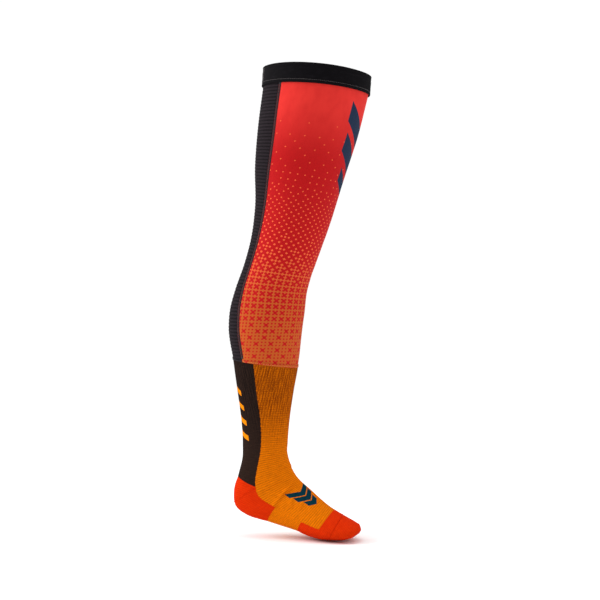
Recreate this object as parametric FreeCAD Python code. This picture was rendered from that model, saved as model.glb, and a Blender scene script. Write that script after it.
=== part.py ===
import FreeCAD, Part

import math
import os
from collections import namedtuple

from FreeCAD import Vector

# Over-the-knee sock for wearing under a motocross knee brace: an elastic cuff, a printed stretch
# sleeve over the thigh, knee and upper calf, and a knitted sock from the shin to the toes.
# Millimetres. Origin at the centre of the cuff's bore, +Z up, +X towards the toes, -Y to the
# outer side of a right leg. The sock stands as it does on a leg, with the heel a little raised.

# ---- driving dimensions -------------------------------------------------------------------
CUFF_BORE_RADIUS = 90.5       # inside of the gripper tape, on the thigh
CUFF_HEIGHT = 32.0            # woven elastic, hem to rim
CUFF_THICKNESS = 2.0
CUFF_TILT = 5.0               # degrees, the front of the rim lies lower than the back
CUFF_OVERLAP = 1.5            # how far the cuff reaches down over the sleeve
CUFF_JOIN_ANGLE = 21.0        # degrees round from the back, where the cuff's ends meet
CUFF_JOIN_WIDTH = 3.0
CUFF_STITCH_HEIGHT = 5.5      # stitch line above the cuff's hem
STITCH_WIDTH = 1.4
STITCH_THICKNESS = 0.5

THIGH_LENGTH = 322.0          # cuff centre to knee centre
THIGH_LEAN = 11.0             # degrees from upright, the knee lies behind the cuff
SHANK_LENGTH = 359.0          # knee centre to ankle centre
SHANK_LEAN = 4.9
FOOT_LENGTH = 245.0           # heel to toe tip
TOE_OUT = 34.0                # how far the toes point to the outer side

PRINT_THICKNESS = 1.2         # printed stretch fabric
RIB_THICKNESS = 1.4           # ribbed stretch fabric
KNIT_THICKNESS = 2.0          # sock knit
PAD_THICKNESS = 3.0           # terry-lined knit under the heel and ball

SEAM_WIDTH = 5.0              # flatlock seam tape
SEAM_PROUD = 0.4              # the seam stands this much over the fabric beside it
HEM_SEAM_WIDTH = 6.0
TOE_SEAM_WIDTH = 3.0
GORE_SEAM_WIDTH = 3.0
BALL_PAD_LEAD = 1.0           # the ball pad begins this far before the front of the arch
TOE_BAND_LEAD = 7.0           # the toe band begins this far past the back of the ball
TOE_SEAM_LEAD = 6.0           # the toe seam lies this far past the middle of the ball
KNEE_FLEX_UP = 68.0           # fabric that bends with the knee, above its centre
KNEE_FLEX_DOWN = 66.0

CLEARANCE = 0.3               # between two pieces that meet edge to edge
FIT = 0.1                     # between the gripper tape and the cuff

# ---- form of the leg inside the sock ------------------------------------------------------
# A ring is one cross-section of the leg. Thigh and shank rings lie a share of the way along
# their segment and a shift in front of its line; foot rings lie a share of the foot's length
# ahead of the ankle centre and a drop below it. tilt turns the section so that its front lies
# lower. depth and width are half sizes, side moves it towards the inner side of the leg, and
# full is how much wider the section is towards the back or sole.
Ring = namedtuple("Ring", "name along shift tilt depth width side full")

THIGH_RINGS = [
    Ring("thigh_full", 0.278, 1.6, 6.3, 86.1, 86.0, 0.0, 0.02),
    Ring("thigh_mid", 0.511, 0.6, 9.2, 76.9, 76.5, 0.0, 0.02),
    Ring("thigh_low", 0.736, 3.0, 11.8, 66.0, 66.0, 0.0, 0.00),
    Ring("knee_above", 0.937, -0.5, 11.8, 59.5, 59.0, 0.0, 0.00),
]
SHANK_RINGS = [
    Ring("knee", 0.045, -6.7, 8.4, 58.6, 57.5, 0.0, 0.02),
    Ring("knee_below", 0.145, -14.7, 4.8, 61.2, 57.0, 0.0, 0.04),
    Ring("calf_top", 0.236, -18.3, 2.3, 64.1, 58.5, 0.0, 0.08),
    Ring("calf_full", 0.319, -19.0, 0.8, 63.5, 58.5, 0.0, 0.10),
    Ring("hem", 0.493, -12.9, 0.9, 55.3, 52.0, 0.0, 0.10),
    Ring("shin_mid", 0.636, -9.4, 0.0, 47.0, 43.5, 0.0, 0.10),
    Ring("shin_low", 0.791, -4.9, 0.0, 39.6, 35.5, 0.0, 0.08),
    Ring("ankle_top", 0.886, -2.4, -1.5, 37.6, 31.5, 0.0, 0.06),
]
FOOT_RINGS = [
    Ring("ankle", 0.002, -21.8, -8.0, 37.9, 31.5, 0.0, 0.04),
    Ring("heel_top", -0.004, -0.4, -15.0, 44.2, 32.0, -1.0, 0.02),
    Ring("heel_back", -0.008, 22.7, -21.5, 53.0, 31.0, -2.0, 0.02),
    Ring("heel_round", 0.016, 42.0, -26.4, 57.6, 30.0, -3.0, 0.05),
    Ring("heel_base", 0.076, 54.0, -31.0, 54.2, 30.0, -5.0, 0.09),
    Ring("arch_back", 0.155, 62.2, -36.0, 47.0, 31.0, -8.0, 0.12),
    Ring("arch", 0.240, 71.0, -42.0, 39.6, 33.5, -12.0, 0.12),
    Ring("arch_front", 0.330, 80.6, -48.5, 32.6, 37.5, -16.5, 0.12),
    Ring("ball_back", 0.418, 90.6, -54.5, 28.0, 41.5, -21.0, 0.12),
    Ring("ball", 0.501, 97.2, -59.5, 23.7, 43.5, -25.0, 0.12),
    Ring("toe_root", 0.578, 101.2, -62.5, 18.5, 42.0, -28.5, 0.12),
    Ring("toe_mid", 0.637, 103.2, -64.0, 13.6, 37.0, -31.0, 0.10),
    Ring("toe_end", 0.675, 103.6, -64.0, 8.6, 28.5, -32.5, 0.08),
    Ring("toe_tip", 0.696, 103.6, -64.0, 2.4, 13.0, -34.0, 0.05),
]

# Edge of the ribbed back panel, and of the knitted calf and sole zones, each in degrees round
# from the back line to either side.
SLEEVE_EDGE = [("cuff_hem", 56.0), ("thigh_mid", 56.0), ("thigh_low", 50.0), ("knee", 45.0),
               ("calf_full", 52.0), ("hem", 54.0)]
KNIT_EDGE = [("hem", 76.0), ("shin_mid", 80.0), ("shin_low", 87.0), ("ankle_top", 87.0),
             ("heel_top", 81.0), ("heel_back", 80.0), ("arch_back", 81.0), ("arch_front", 74.0),
             ("ball_back", 78.0), ("toe_tip", 86.0)]

LEG_STEP, FOOT_STEP = 14.0, 5.0     # spacing of the sections that a surface passes through
COLUMN_TURN = 12.0                  # degrees between the points round a surface
TOE_SECTIONS = 9
RING_POINTS = 36              # points on each lofted outline


def segment_point(start, length, lean, share, shift):
    """Point (x, z) a share of the way down a leaning segment, shifted to its front."""
    down_x, down_z = -math.sin(math.radians(lean)), -math.cos(math.radians(lean))
    along = share * length
    return (start[0] + along * down_x - shift * down_z, start[1] + along * down_z + shift * down_x)


CUFF_AXIS = Vector(math.sin(math.radians(CUFF_TILT)), 0, math.cos(math.radians(CUFF_TILT)))
KNEE = segment_point((0, 0), THIGH_LENGTH, THIGH_LEAN, 1.0, 0)
ANKLE = segment_point(KNEE, SHANK_LENGTH, SHANK_LEAN, 1.0, 0)
SLEEVE_TOP_RADIUS = CUFF_BORE_RADIUS + CLEARANCE / 2


def placed_rings():
    """All sections from cuff to toes as (name, (x, z, tilt, depth, width, side, full))."""
    top = -CUFF_AXIS * (CUFF_HEIGHT / 2)
    rings = [("cuff_hem", (top.x, top.z, CUFF_TILT, SLEEVE_TOP_RADIUS, SLEEVE_TOP_RADIUS, 0, 0))]
    for ring in THIGH_RINGS:
        x, z = segment_point((0, 0), THIGH_LENGTH, THIGH_LEAN, ring.along, ring.shift)
        rings.append((ring.name, (x, z) + tuple(ring[3:])))
    for ring in SHANK_RINGS:
        x, z = segment_point(KNEE, SHANK_LENGTH, SHANK_LEAN, ring.along, ring.shift)
        rings.append((ring.name, (x, z) + tuple(ring[3:])))
    for ring in FOOT_RINGS:
        x, z = ANKLE[0] + ring.along * FOOT_LENGTH, ANKLE[1] - ring.shift
        side = ring.side * TOE_OUT / -FOOT_RINGS[-1].side
        rings.append((ring.name, (x, z, ring.tilt, ring.depth, ring.width, side, ring.full)))
    return rings


class Curve:
    """Smooth curve through values at increasing distances; each value is a tuple of numbers."""

    def __init__(self, distances, values):
        self.at = distances
        self.values = values
        steps = [b - a for a, b in zip(distances, distances[1:])]
        rises = [[(q - p) / step for p, q in zip(a, b)]
                 for a, b, step in zip(values, values[1:], steps)]
        self.slopes = [rises[0]]
        for before, after, h0, h1 in zip(rises, rises[1:], steps, steps[1:]):
            self.slopes.append([(p * h1 + q * h0) / (h0 + h1) for p, q in zip(before, after)])
        self.slopes.append(rises[-1])

    def __call__(self, distance):
        i = 0
        while i < len(self.at) - 2 and distance > self.at[i + 1]:
            i += 1
        step = self.at[i + 1] - self.at[i]
        t = (distance - self.at[i]) / step
        start, rise = 2 * t**3 - 3 * t**2 + 1, t**3 - 2 * t**2 + t
        end, fall = -2 * t**3 + 3 * t**2, t**3 - t**2
        return [start * p + rise * step * u + end * q + fall * step * v
                for p, u, q, v in zip(self.values[i], self.slopes[i],
                                      self.values[i + 1], self.slopes[i + 1])]


RINGS = placed_rings()
STATIONS = {}
travelled = 0.0
for index, (name, ring) in enumerate(RINGS):
    if index:
        before = RINGS[index - 1][1]
        travelled += math.hypot(ring[0] - before[0], ring[1] - before[1])
    STATIONS[name] = travelled
FORM = Curve([STATIONS[name] for name, ring in RINGS], [ring for name, ring in RINGS])


def edge_curve(points):
    """Angle from the back line as a function of the distance from the cuff's hem."""
    curve = Curve([STATIONS[name] for name, angle in points], [(angle,) for name, angle in points])
    return lambda distance: curve(distance)[0]


sleeve_edge = edge_curve(SLEEVE_EDGE)
knit_edge = edge_curve(KNIT_EDGE)


def skin_point(distance, angle, lift):
    """Point on the leg form: distance from the cuff's hem, degrees from the back line, lift off
    the skin. Angles from 0 to 180 run over the outer side to the front."""
    x, z, tilt, depth, width, side, full = FORM(distance)
    turn, slope = math.radians(angle), math.radians(tilt)
    ahead = -math.cos(turn) * (depth + lift)
    across = -math.sin(turn) * (1 + full * math.cos(turn)) * (width + lift)
    return Vector(x + ahead * math.cos(slope), side + across, z - ahead * math.sin(slope))


def turned(distance, angle, length):
    """Angle reached by going a length in mm round the section from a starting angle."""
    per_degree = (skin_point(distance, angle + 0.5, 0) - skin_point(distance, angle - 0.5, 0)).Length
    return angle + length / per_degree


def solid_from(faces):
    """Closed solid from faces that share their borders."""
    shell = Part.makeShell(faces)
    shell.sewShape()
    solid = Part.makeSolid(Part.Shell(shell.Faces))
    if solid.Volume < 0:
        solid.reverse()
    return solid


def patch(start, end, left, right, inner, outer, step=LEG_STEP):
    """A piece of fabric between two distances and two edges, each edge an angle at a distance."""
    rows = max(4, int(math.ceil((end - start) / step)) + 1)
    widest = max(abs(right(d) - left(d)) for d in (start, (start + end) / 2, end))
    columns = max(4, int(math.ceil(widest / COLUMN_TURN)) + 1)
    surfaces = []
    for lift in (inner, outer):
        grid = []
        for row in range(rows):
            distance = start + (end - start) * row / (rows - 1)
            low, high = left(distance), right(distance)
            grid.append([skin_point(distance, low + (high - low) * c / (columns - 1), lift)
                         for c in range(columns)])
        surface = Part.BSplineSurface()
        surface.interpolate(grid)
        surfaces.append(surface)
    faces = [surface.toShape() for surface in surfaces]
    u0, u1, v0, v1 = surfaces[0].bounds()
    for value in (u0, u1):
        edges = [surface.uIso(value).toShape() for surface in surfaces]
        faces.append(Part.makeRuledSurface(edges[0], edges[1]))
    for value in (v0, v1):
        edges = [surface.vIso(value).toShape() for surface in surfaces]
        faces.append(Part.makeRuledSurface(edges[0], edges[1]))
    return solid_from(faces)


def ring_wire(distance, lift):
    """Closed smooth outline of one section."""
    turns = [360.0 * i / RING_POINTS for i in range(RING_POINTS)]
    curve = Part.BSplineCurve()
    curve.interpolate(Points=[skin_point(distance, turn, lift) for turn in turns], PeriodicFlag=True)
    return Part.Wire(curve.toShape())


def loft(distances, lift):
    """Solid form of the leg over a run of sections, grown by a lift."""
    return Part.makeLoft([ring_wire(distance, lift) for distance in distances], True, False)


def spread(start, end, count):
    return [start + (end - start) * i / (count - 1) for i in range(count)]


def band(start, end, inner, outer):
    """A fabric tube all the way round, lofted through its two ends and its middle."""
    past = (end - start) / 2
    hole = spread(start - past, end + past, 5)
    return loft(spread(start, end, 3), outer).cut(loft(hole, inner))


# ---- pieces -------------------------------------------------------------------------------
NODES = {}

HALF_SEAM = SEAM_WIDTH / 2
SLEEVE_START = STATIONS["cuff_hem"] + CLEARANCE
KNEE_AT = (STATIONS["knee_above"] + STATIONS["knee"]) / 2
HEM_AT = STATIONS["hem"]
SPANS = [
    ("thigh", SLEEVE_START, KNEE_AT - KNEE_FLEX_UP - CLEARANCE / 2),
    ("knee", KNEE_AT - KNEE_FLEX_UP + CLEARANCE / 2, KNEE_AT + KNEE_FLEX_DOWN - CLEARANCE / 2),
    ("calf", KNEE_AT + KNEE_FLEX_DOWN + CLEARANCE / 2, HEM_AT - HEM_SEAM_WIDTH / 2 - CLEARANCE),
]


def cuff_ring(inner, outer, bottom, top):
    """Ring about the cuff's axis between two heights measured from the bore's centre."""
    base = CUFF_AXIS * bottom
    ring = Part.makeCylinder(outer, top - bottom, base, CUFF_AXIS)
    return ring.cut(Part.makeCylinder(inner, top - bottom, base, CUFF_AXIS))


def cuff_join_block(width, inner, outer, bottom, top):
    """Upright bar through the cuff's wall at the place where its ends meet."""
    bar = Part.makeBox(outer - inner, width, top - bottom, Vector(inner, -width / 2, bottom))
    bar.rotate(Vector(0, 0, 0), Vector(0, 0, 1), 180 + CUFF_JOIN_ANGLE)
    bar.rotate(Vector(0, 0, 0), Vector(0, 1, 0), CUFF_TILT)
    return bar


def make_cuff():
    low, high = -CUFF_HEIGHT / 2, CUFF_HEIGHT / 2
    inner = SLEEVE_TOP_RADIUS + max(PRINT_THICKNESS, RIB_THICKNESS + SEAM_PROUD) + CLEARANCE
    outer = inner + CUFF_THICKNESS
    NODES["gripper_tape"] = cuff_ring(CUFF_BORE_RADIUS, inner - FIT, low, high)
    cuff = cuff_ring(inner, outer, low - CUFF_OVERLAP, high)
    slot = cuff_join_block(CUFF_JOIN_WIDTH, inner - CUFF_THICKNESS, outer + CUFF_THICKNESS,
                           low - 2 * CUFF_OVERLAP, high + CUFF_OVERLAP)
    NODES["cuff_band"] = cuff.cut(slot)
    NODES["cuff_join_seam"] = cuff_join_block(
        CUFF_JOIN_WIDTH - 2 * FIT, inner + 2 * FIT, outer - FIT, low - CUFF_OVERLAP, high)
    stitch = low - CUFF_OVERLAP + CUFF_STITCH_HEIGHT
    NODES["cuff_stitching"] = cuff_ring(outer + FIT / 2, outer + STITCH_THICKNESS,
                                        stitch, stitch + STITCH_WIDTH)


def make_sleeve():
    """Printed front panel, ribbed back panel and the two flatlock seams, split at the knee."""
    for zone, start, end in SPANS:
        def seam_edge(side, offset, whole_turn=0.0):
            return lambda d: whole_turn + turned(d, side * sleeve_edge(d), offset)

        NODES["front_panel_" + zone] = patch(
            start, end, seam_edge(1, HALF_SEAM + CLEARANCE),
            seam_edge(-1, -HALF_SEAM - CLEARANCE, 360.0), 0, PRINT_THICKNESS)
        NODES["back_panel_" + zone] = patch(
            start, end, seam_edge(-1, HALF_SEAM + CLEARANCE), seam_edge(1, -HALF_SEAM - CLEARANCE),
            0, RIB_THICKNESS)
        for side, word in ((1, "outer"), (-1, "inner")):
            NODES["seam_%s_%s" % (word, zone)] = patch(
                start, end, seam_edge(side, -HALF_SEAM), seam_edge(side, HALF_SEAM),
                0, RIB_THICKNESS + SEAM_PROUD)


def make_shank_knit():
    """Hem seam and the knitted sock down to the ankle."""
    NODES["hem_seam"] = band(HEM_AT - HEM_SEAM_WIDTH / 2, HEM_AT + HEM_SEAM_WIDTH / 2,
                             0, KNIT_THICKNESS + SEAM_PROUD)
    start = HEM_AT + HEM_SEAM_WIDTH / 2 + CLEARANCE
    end = STATIONS["ankle_top"] - CLEARANCE / 2
    NODES["shin_knit"] = knit_zone(start, end, False, KNIT_THICKNESS, LEG_STEP)
    NODES["calf_knit"] = knit_zone(start, end, True, KNIT_THICKNESS, LEG_STEP)


def knit_zone(start, end, back, thickness, step=FOOT_STEP):
    """Knitted zone on the calf and sole side (back) or on the shin and instep side."""
    if back:
        return patch(start, end, lambda d: turned(d, -knit_edge(d), CLEARANCE),
                     lambda d: turned(d, knit_edge(d), -CLEARANCE), 0, thickness, step)
    return patch(start, end, lambda d: turned(d, knit_edge(d), CLEARANCE),
                 lambda d: 360.0 + turned(d, -knit_edge(d), -CLEARANCE), 0, thickness, step)


def make_foot():
    """Ankle, heel pocket, arch, instep, ball and toes."""
    gap = CLEARANCE
    ankle = STATIONS["ankle_top"] + gap / 2
    heel = STATIONS["heel_top"]
    gore = (STATIONS["heel_back"] + STATIONS["heel_round"]) / 2
    arch = STATIONS["arch_back"]
    instep = STATIONS["heel_round"]
    ball = STATIONS["arch_front"] - BALL_PAD_LEAD
    toe_band = STATIONS["ball_back"] + TOE_BAND_LEAD
    toes = STATIONS["ball"] + TOE_SEAM_LEAD
    NODES["ankle_back_knit"] = knit_zone(ankle, heel - gap, True, KNIT_THICKNESS)
    NODES["ankle_front_knit"] = knit_zone(ankle, instep - gap, False, KNIT_THICKNESS)
    NODES["heel_upper"] = knit_zone(heel, gore - GORE_SEAM_WIDTH / 2 - gap, True, PAD_THICKNESS)
    NODES["heel_gore_seam"] = knit_zone(gore - GORE_SEAM_WIDTH / 2, gore + GORE_SEAM_WIDTH / 2,
                                        True, PAD_THICKNESS + SEAM_PROUD)
    NODES["heel_lower"] = knit_zone(gore + GORE_SEAM_WIDTH / 2 + gap, arch - gap, True, PAD_THICKNESS)
    NODES["arch_band"] = knit_zone(arch, ball - gap, True, KNIT_THICKNESS)
    NODES["ball_pad"] = knit_zone(ball, toes - TOE_SEAM_WIDTH - gap, True, PAD_THICKNESS)
    NODES["instep_knit"] = knit_zone(instep, toe_band - gap, False, KNIT_THICKNESS)
    NODES["toe_band"] = knit_zone(toe_band, toes - TOE_SEAM_WIDTH - gap, False, KNIT_THICKNESS)
    NODES["toe_seam"] = band(toes - TOE_SEAM_WIDTH, toes, 0, PAD_THICKNESS + SEAM_PROUD)
    outer = loft(spread(toes + gap, STATIONS["toe_tip"], TOE_SECTIONS), KNIT_THICKNESS)
    inner = loft(spread(toes - TOE_SEAM_WIDTH, STATIONS["toe_end"], TOE_SECTIONS), 0)
    NODES["toe_cap"] = outer.cut(inner)


make_cuff()
make_sleeve()
make_shank_knit()
make_foot()

os.makedirs("parts", exist_ok=True)
for name, shape in NODES.items():
    shape.exportStep("parts/%s.step" % name)
    print(name, shape.ShapeType, len(shape.Solids), shape.isValid(), round(shape.Volume / 1000, 2))
print("knee", KNEE, "ankle", ANKLE)
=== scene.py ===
"""Over-the-knee sock for wearing under a hinged knee brace: cloth, seams and knit on the frame."""
import math
from collections import namedtuple

import bmesh
import bpy
import numpy as np
from bpy.props import FloatProperty, FloatVectorProperty, PointerProperty
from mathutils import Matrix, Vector


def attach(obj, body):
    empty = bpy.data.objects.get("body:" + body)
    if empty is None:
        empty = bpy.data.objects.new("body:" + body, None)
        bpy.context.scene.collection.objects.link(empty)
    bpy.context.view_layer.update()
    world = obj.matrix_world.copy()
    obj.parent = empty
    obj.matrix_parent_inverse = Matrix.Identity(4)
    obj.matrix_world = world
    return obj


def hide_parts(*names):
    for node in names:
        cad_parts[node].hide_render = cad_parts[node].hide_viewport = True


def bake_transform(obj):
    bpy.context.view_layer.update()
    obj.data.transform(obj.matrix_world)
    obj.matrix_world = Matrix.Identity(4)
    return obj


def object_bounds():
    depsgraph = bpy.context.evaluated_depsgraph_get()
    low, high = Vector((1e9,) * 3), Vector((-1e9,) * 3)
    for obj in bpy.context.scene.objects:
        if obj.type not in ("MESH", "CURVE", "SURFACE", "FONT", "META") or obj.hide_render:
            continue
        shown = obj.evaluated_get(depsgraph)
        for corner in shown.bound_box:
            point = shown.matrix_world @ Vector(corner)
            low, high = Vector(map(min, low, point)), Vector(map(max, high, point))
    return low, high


bl_info = {
    "name": "Over-the-knee brace sock",
    "version": (1, 0, 0),
    "blender": (4, 5, 0),
    "location": "View3D > Sidebar > Brace sock",
    "description": "Builds the cuff, sleeve, seams and knitted foot of a brace sock on its frame",
    "category": "Add Mesh",
}

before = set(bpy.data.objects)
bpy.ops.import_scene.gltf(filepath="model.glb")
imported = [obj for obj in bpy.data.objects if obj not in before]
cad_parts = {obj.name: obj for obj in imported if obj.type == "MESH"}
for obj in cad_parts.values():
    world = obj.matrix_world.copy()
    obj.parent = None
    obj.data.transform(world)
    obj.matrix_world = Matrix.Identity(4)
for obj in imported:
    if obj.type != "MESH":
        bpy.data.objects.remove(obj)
CAD_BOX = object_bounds()
MM = 0.001

# ---- form of the leg, in millimetres, the same sections as the frame's own pieces ----------
Ring = namedtuple("Ring", "name along shift tilt depth width side full")
CUFF_BORE_RADIUS = 90.5
CUFF_HEIGHT = 32.0
CUFF_TILT = 5.0
CUFF_OVERLAP = 1.5
CUFF_THICKNESS = 2.0
CUFF_JOIN_ANGLE = 21.0
CUFF_JOIN_WIDTH = 3.0
CUFF_STITCH_HEIGHT = 5.5
PRINT_THICKNESS = 1.2
RIB_THICKNESS = 1.4
KNIT_THICKNESS = 2.0
PAD_THICKNESS = 3.0
SEAM_WIDTH = 5.0
SEAM_PROUD = 0.4
HEM_WIDTH = 6.0
GORE_WIDTH = 3.0
TOE_SEAM_WIDTH = 3.0
CLEARANCE = 0.3
SLEEVE_TOP_RADIUS = CUFF_BORE_RADIUS + CLEARANCE / 2
CUFF_INNER = SLEEVE_TOP_RADIUS + RIB_THICKNESS + SEAM_PROUD + CLEARANCE
CUFF_OUTER = CUFF_INNER + CUFF_THICKNESS
THIGH_LENGTH, THIGH_LEAN = 322.0, 11.0
SHANK_LENGTH, SHANK_LEAN = 359.0, 4.9
FOOT_LENGTH = 245.0
THIGH_RINGS = [
    Ring("thigh_full", 0.278, 1.6, 6.3, 86.1, 86.0, 0.0, 0.02),
    Ring("thigh_mid", 0.511, 0.6, 9.2, 76.9, 76.5, 0.0, 0.02),
    Ring("thigh_low", 0.736, 3.0, 11.8, 66.0, 66.0, 0.0, 0.00),
    Ring("knee_above", 0.937, -0.5, 11.8, 59.5, 59.0, 0.0, 0.00),
]
SHANK_RINGS = [
    Ring("knee", 0.045, -6.7, 8.4, 58.6, 57.5, 0.0, 0.02),
    Ring("knee_below", 0.145, -14.7, 4.8, 61.2, 57.0, 0.0, 0.04),
    Ring("calf_top", 0.236, -18.3, 2.3, 64.1, 58.5, 0.0, 0.08),
    Ring("calf_full", 0.319, -19.0, 0.8, 63.5, 58.5, 0.0, 0.10),
    Ring("hem", 0.493, -12.9, 0.9, 55.3, 52.0, 0.0, 0.10),
    Ring("shin_mid", 0.636, -9.4, 0.0, 47.0, 43.5, 0.0, 0.10),
    Ring("shin_low", 0.791, -4.9, 0.0, 39.6, 35.5, 0.0, 0.08),
    Ring("ankle_top", 0.886, -2.4, -1.5, 37.6, 31.5, 0.0, 0.06),
]
FOOT_RINGS = [
    Ring("ankle", 0.002, -21.8, -8.0, 37.9, 31.5, 0.0, 0.04),
    Ring("heel_top", -0.004, -0.4, -15.0, 44.2, 32.0, -1.0, 0.02),
    Ring("heel_back", -0.008, 22.7, -21.5, 53.0, 31.0, -2.0, 0.02),
    Ring("heel_round", 0.016, 42.0, -26.4, 57.6, 30.0, -3.0, 0.05),
    Ring("heel_base", 0.076, 54.0, -31.0, 54.2, 30.0, -5.0, 0.09),
    Ring("arch_back", 0.155, 62.2, -36.0, 47.0, 31.0, -8.0, 0.12),
    Ring("arch", 0.240, 71.0, -42.0, 39.6, 33.5, -12.0, 0.12),
    Ring("arch_front", 0.330, 80.6, -48.5, 32.6, 37.5, -16.5, 0.12),
    Ring("ball_back", 0.418, 90.6, -54.5, 28.0, 41.5, -21.0, 0.12),
    Ring("ball", 0.501, 97.2, -59.5, 23.7, 43.5, -25.0, 0.12),
    Ring("toe_root", 0.578, 101.2, -62.5, 18.5, 42.0, -28.5, 0.12),
    Ring("toe_mid", 0.637, 103.2, -64.0, 13.6, 37.0, -31.0, 0.10),
    Ring("toe_end", 0.675, 103.6, -64.0, 8.6, 28.5, -32.5, 0.08),
    Ring("toe_tip", 0.696, 103.6, -64.0, 2.4, 13.0, -34.0, 0.05),
]
SLEEVE_EDGE = [("cuff_hem", 56.0), ("thigh_mid", 56.0), ("thigh_low", 50.0), ("knee", 45.0),
               ("calf_full", 52.0), ("hem", 54.0)]
KNIT_EDGE = [("hem", 76.0), ("shin_mid", 80.0), ("shin_low", 87.0), ("ankle_top", 87.0),
             ("heel_top", 81.0), ("heel_back", 80.0), ("arch_back", 81.0), ("arch_front", 74.0),
             ("ball_back", 78.0), ("toe_tip", 86.0)]


class SmoothCurve:
    """Smooth curve through rows of values at increasing distances."""

    def __init__(self, at, values):
        self.at = np.array(at, float)
        self.values = np.array(values, float)
        steps = np.diff(self.at)[:, None]
        rises = np.diff(self.values, axis=0) / steps
        inner = (rises[:-1] * steps[1:] + rises[1:] * steps[:-1]) / (steps[:-1] + steps[1:])
        self.slopes = np.vstack([rises[:1], inner, rises[-1:]])

    def __call__(self, distance):
        distance = np.asarray(distance, float)
        i = np.clip(np.searchsorted(self.at, distance, side="right") - 1, 0, len(self.at) - 2)
        step = (self.at[i + 1] - self.at[i])[..., None]
        t = (distance - self.at[i])[..., None] / step
        return ((2 * t**3 - 3 * t**2 + 1) * self.values[i]
                + (t**3 - 2 * t**2 + t) * step * self.slopes[i]
                + (3 * t**2 - 2 * t**3) * self.values[i + 1]
                + (t**3 - t**2) * step * self.slopes[i + 1])


def segment_point(start, length, lean, share, shift):
    """Point (x, z) a share of the way down a leaning segment, shifted to its front."""
    down_x, down_z = -math.sin(math.radians(lean)), -math.cos(math.radians(lean))
    along = share * length
    return (start[0] + along * down_x - shift * down_z, start[1] + along * down_z + shift * down_x)


CUFF_AXIS = np.array([math.sin(math.radians(CUFF_TILT)), 0, math.cos(math.radians(CUFF_TILT))])
KNEE = segment_point((0, 0), THIGH_LENGTH, THIGH_LEAN, 1.0, 0)
ANKLE = segment_point(KNEE, SHANK_LENGTH, SHANK_LEAN, 1.0, 0)


def placed_rings():
    """All sections from cuff to toes as (name, (x, z, tilt, depth, width, side, full))."""
    top = -CUFF_AXIS * CUFF_HEIGHT / 2
    rings = [("cuff_hem", (top[0], top[2], CUFF_TILT, SLEEVE_TOP_RADIUS, SLEEVE_TOP_RADIUS, 0, 0))]
    for ring in THIGH_RINGS:
        place = segment_point((0, 0), THIGH_LENGTH, THIGH_LEAN, ring.along, ring.shift)
        rings.append((ring.name, place + tuple(ring[3:])))
    for ring in SHANK_RINGS:
        place = segment_point(KNEE, SHANK_LENGTH, SHANK_LEAN, ring.along, ring.shift)
        rings.append((ring.name, place + tuple(ring[3:])))
    for ring in FOOT_RINGS:
        place = (ANKLE[0] + ring.along * FOOT_LENGTH, ANKLE[1] - ring.shift)
        rings.append((ring.name, place + tuple(ring[3:])))
    return rings


PLACED = placed_rings()
CENTRES = np.array([ring[:2] for name, ring in PLACED])
TRAVEL = np.concatenate([[0], np.cumsum(np.linalg.norm(np.diff(CENTRES, axis=0), axis=1))])
STATIONS = {name: distance for (name, ring), distance in zip(PLACED, TRAVEL)}
FORM = SmoothCurve(TRAVEL, [ring for name, ring in PLACED])


def edge_curve(points):
    """Angle from the back line as a function of the distance from the cuff's hem."""
    curve = SmoothCurve([STATIONS[name] for name, angle in points],
                        [(angle,) for name, angle in points])
    return lambda distance: curve(distance)[..., 0]


sleeve_edge = edge_curve(SLEEVE_EDGE)
knit_edge = edge_curve(KNIT_EDGE)


def skin(distance, angle, lift):
    """Points on the leg: distance from the cuff's hem, degrees from the back line round the outer
    side, and lift off the skin."""
    distance, angle, lift = np.broadcast_arrays(distance, angle, lift)
    x, z, tilt, depth, width, side, full = np.moveaxis(FORM(distance), -1, 0)
    turn, slope = np.radians(angle), np.radians(tilt)
    ahead = -np.cos(turn) * (depth + lift)
    across = -np.sin(turn) * (1 + full * np.cos(turn)) * (width + lift)
    return np.stack([x + ahead * np.cos(slope), side + across, z - ahead * np.sin(slope)], -1)


ROW_STEP, TURN_STEP = 2.0, 3.0      # millimetres down the leg and degrees round it
ARC_ROWS = np.arange(-12.0, STATIONS["toe_tip"] + 6, ROW_STEP)
ARC_TURNS = np.arange(-180.0, 541.0, TURN_STEP)


def arc_table():
    """Length round the leg from the front line, for every row and turn."""
    points = skin(ARC_ROWS[:, None], ARC_TURNS[None, :], 1.0)
    steps = np.linalg.norm(np.diff(points, axis=1), axis=2)
    total = np.concatenate([np.zeros((len(ARC_ROWS), 1)), np.cumsum(steps, axis=1)], axis=1)
    front = int(np.argmin(np.abs(ARC_TURNS - 180.0)))
    return total - total[:, front:front + 1]


ARCS = arc_table()


def arc(distance, angle):
    """Length round the leg from the front line, negative on the outer side."""
    distance, angle = np.broadcast_arrays(np.asarray(distance, float), np.asarray(angle, float))
    row = np.clip((distance - ARC_ROWS[0]) / ROW_STEP, 0, len(ARC_ROWS) - 1.001)
    turn = np.clip((angle - ARC_TURNS[0]) / TURN_STEP, 0, len(ARC_TURNS) - 1.001)
    i, j = row.astype(int), turn.astype(int)
    u, v = row - i, turn - j
    return ((ARCS[i, j] * (1 - u) + ARCS[i + 1, j] * u) * (1 - v)
            + (ARCS[i, j + 1] * (1 - u) + ARCS[i + 1, j + 1] * u) * v)


def turned(distance, angle, length):
    """Angle reached by going a length round the section from a starting angle."""
    distance, angle = np.broadcast_arrays(np.asarray(distance, float), angle)
    per_degree = arc(distance, angle + 1.0) - arc(distance, angle - 1.0)
    return angle + 2.0 * length / per_degree


def step_up(value, low, high):
    """0 below low, 1 above high, smooth between."""
    t = np.clip((value - low) / (high - low), 0, 1)
    return t * t * (3 - 2 * t)


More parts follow.
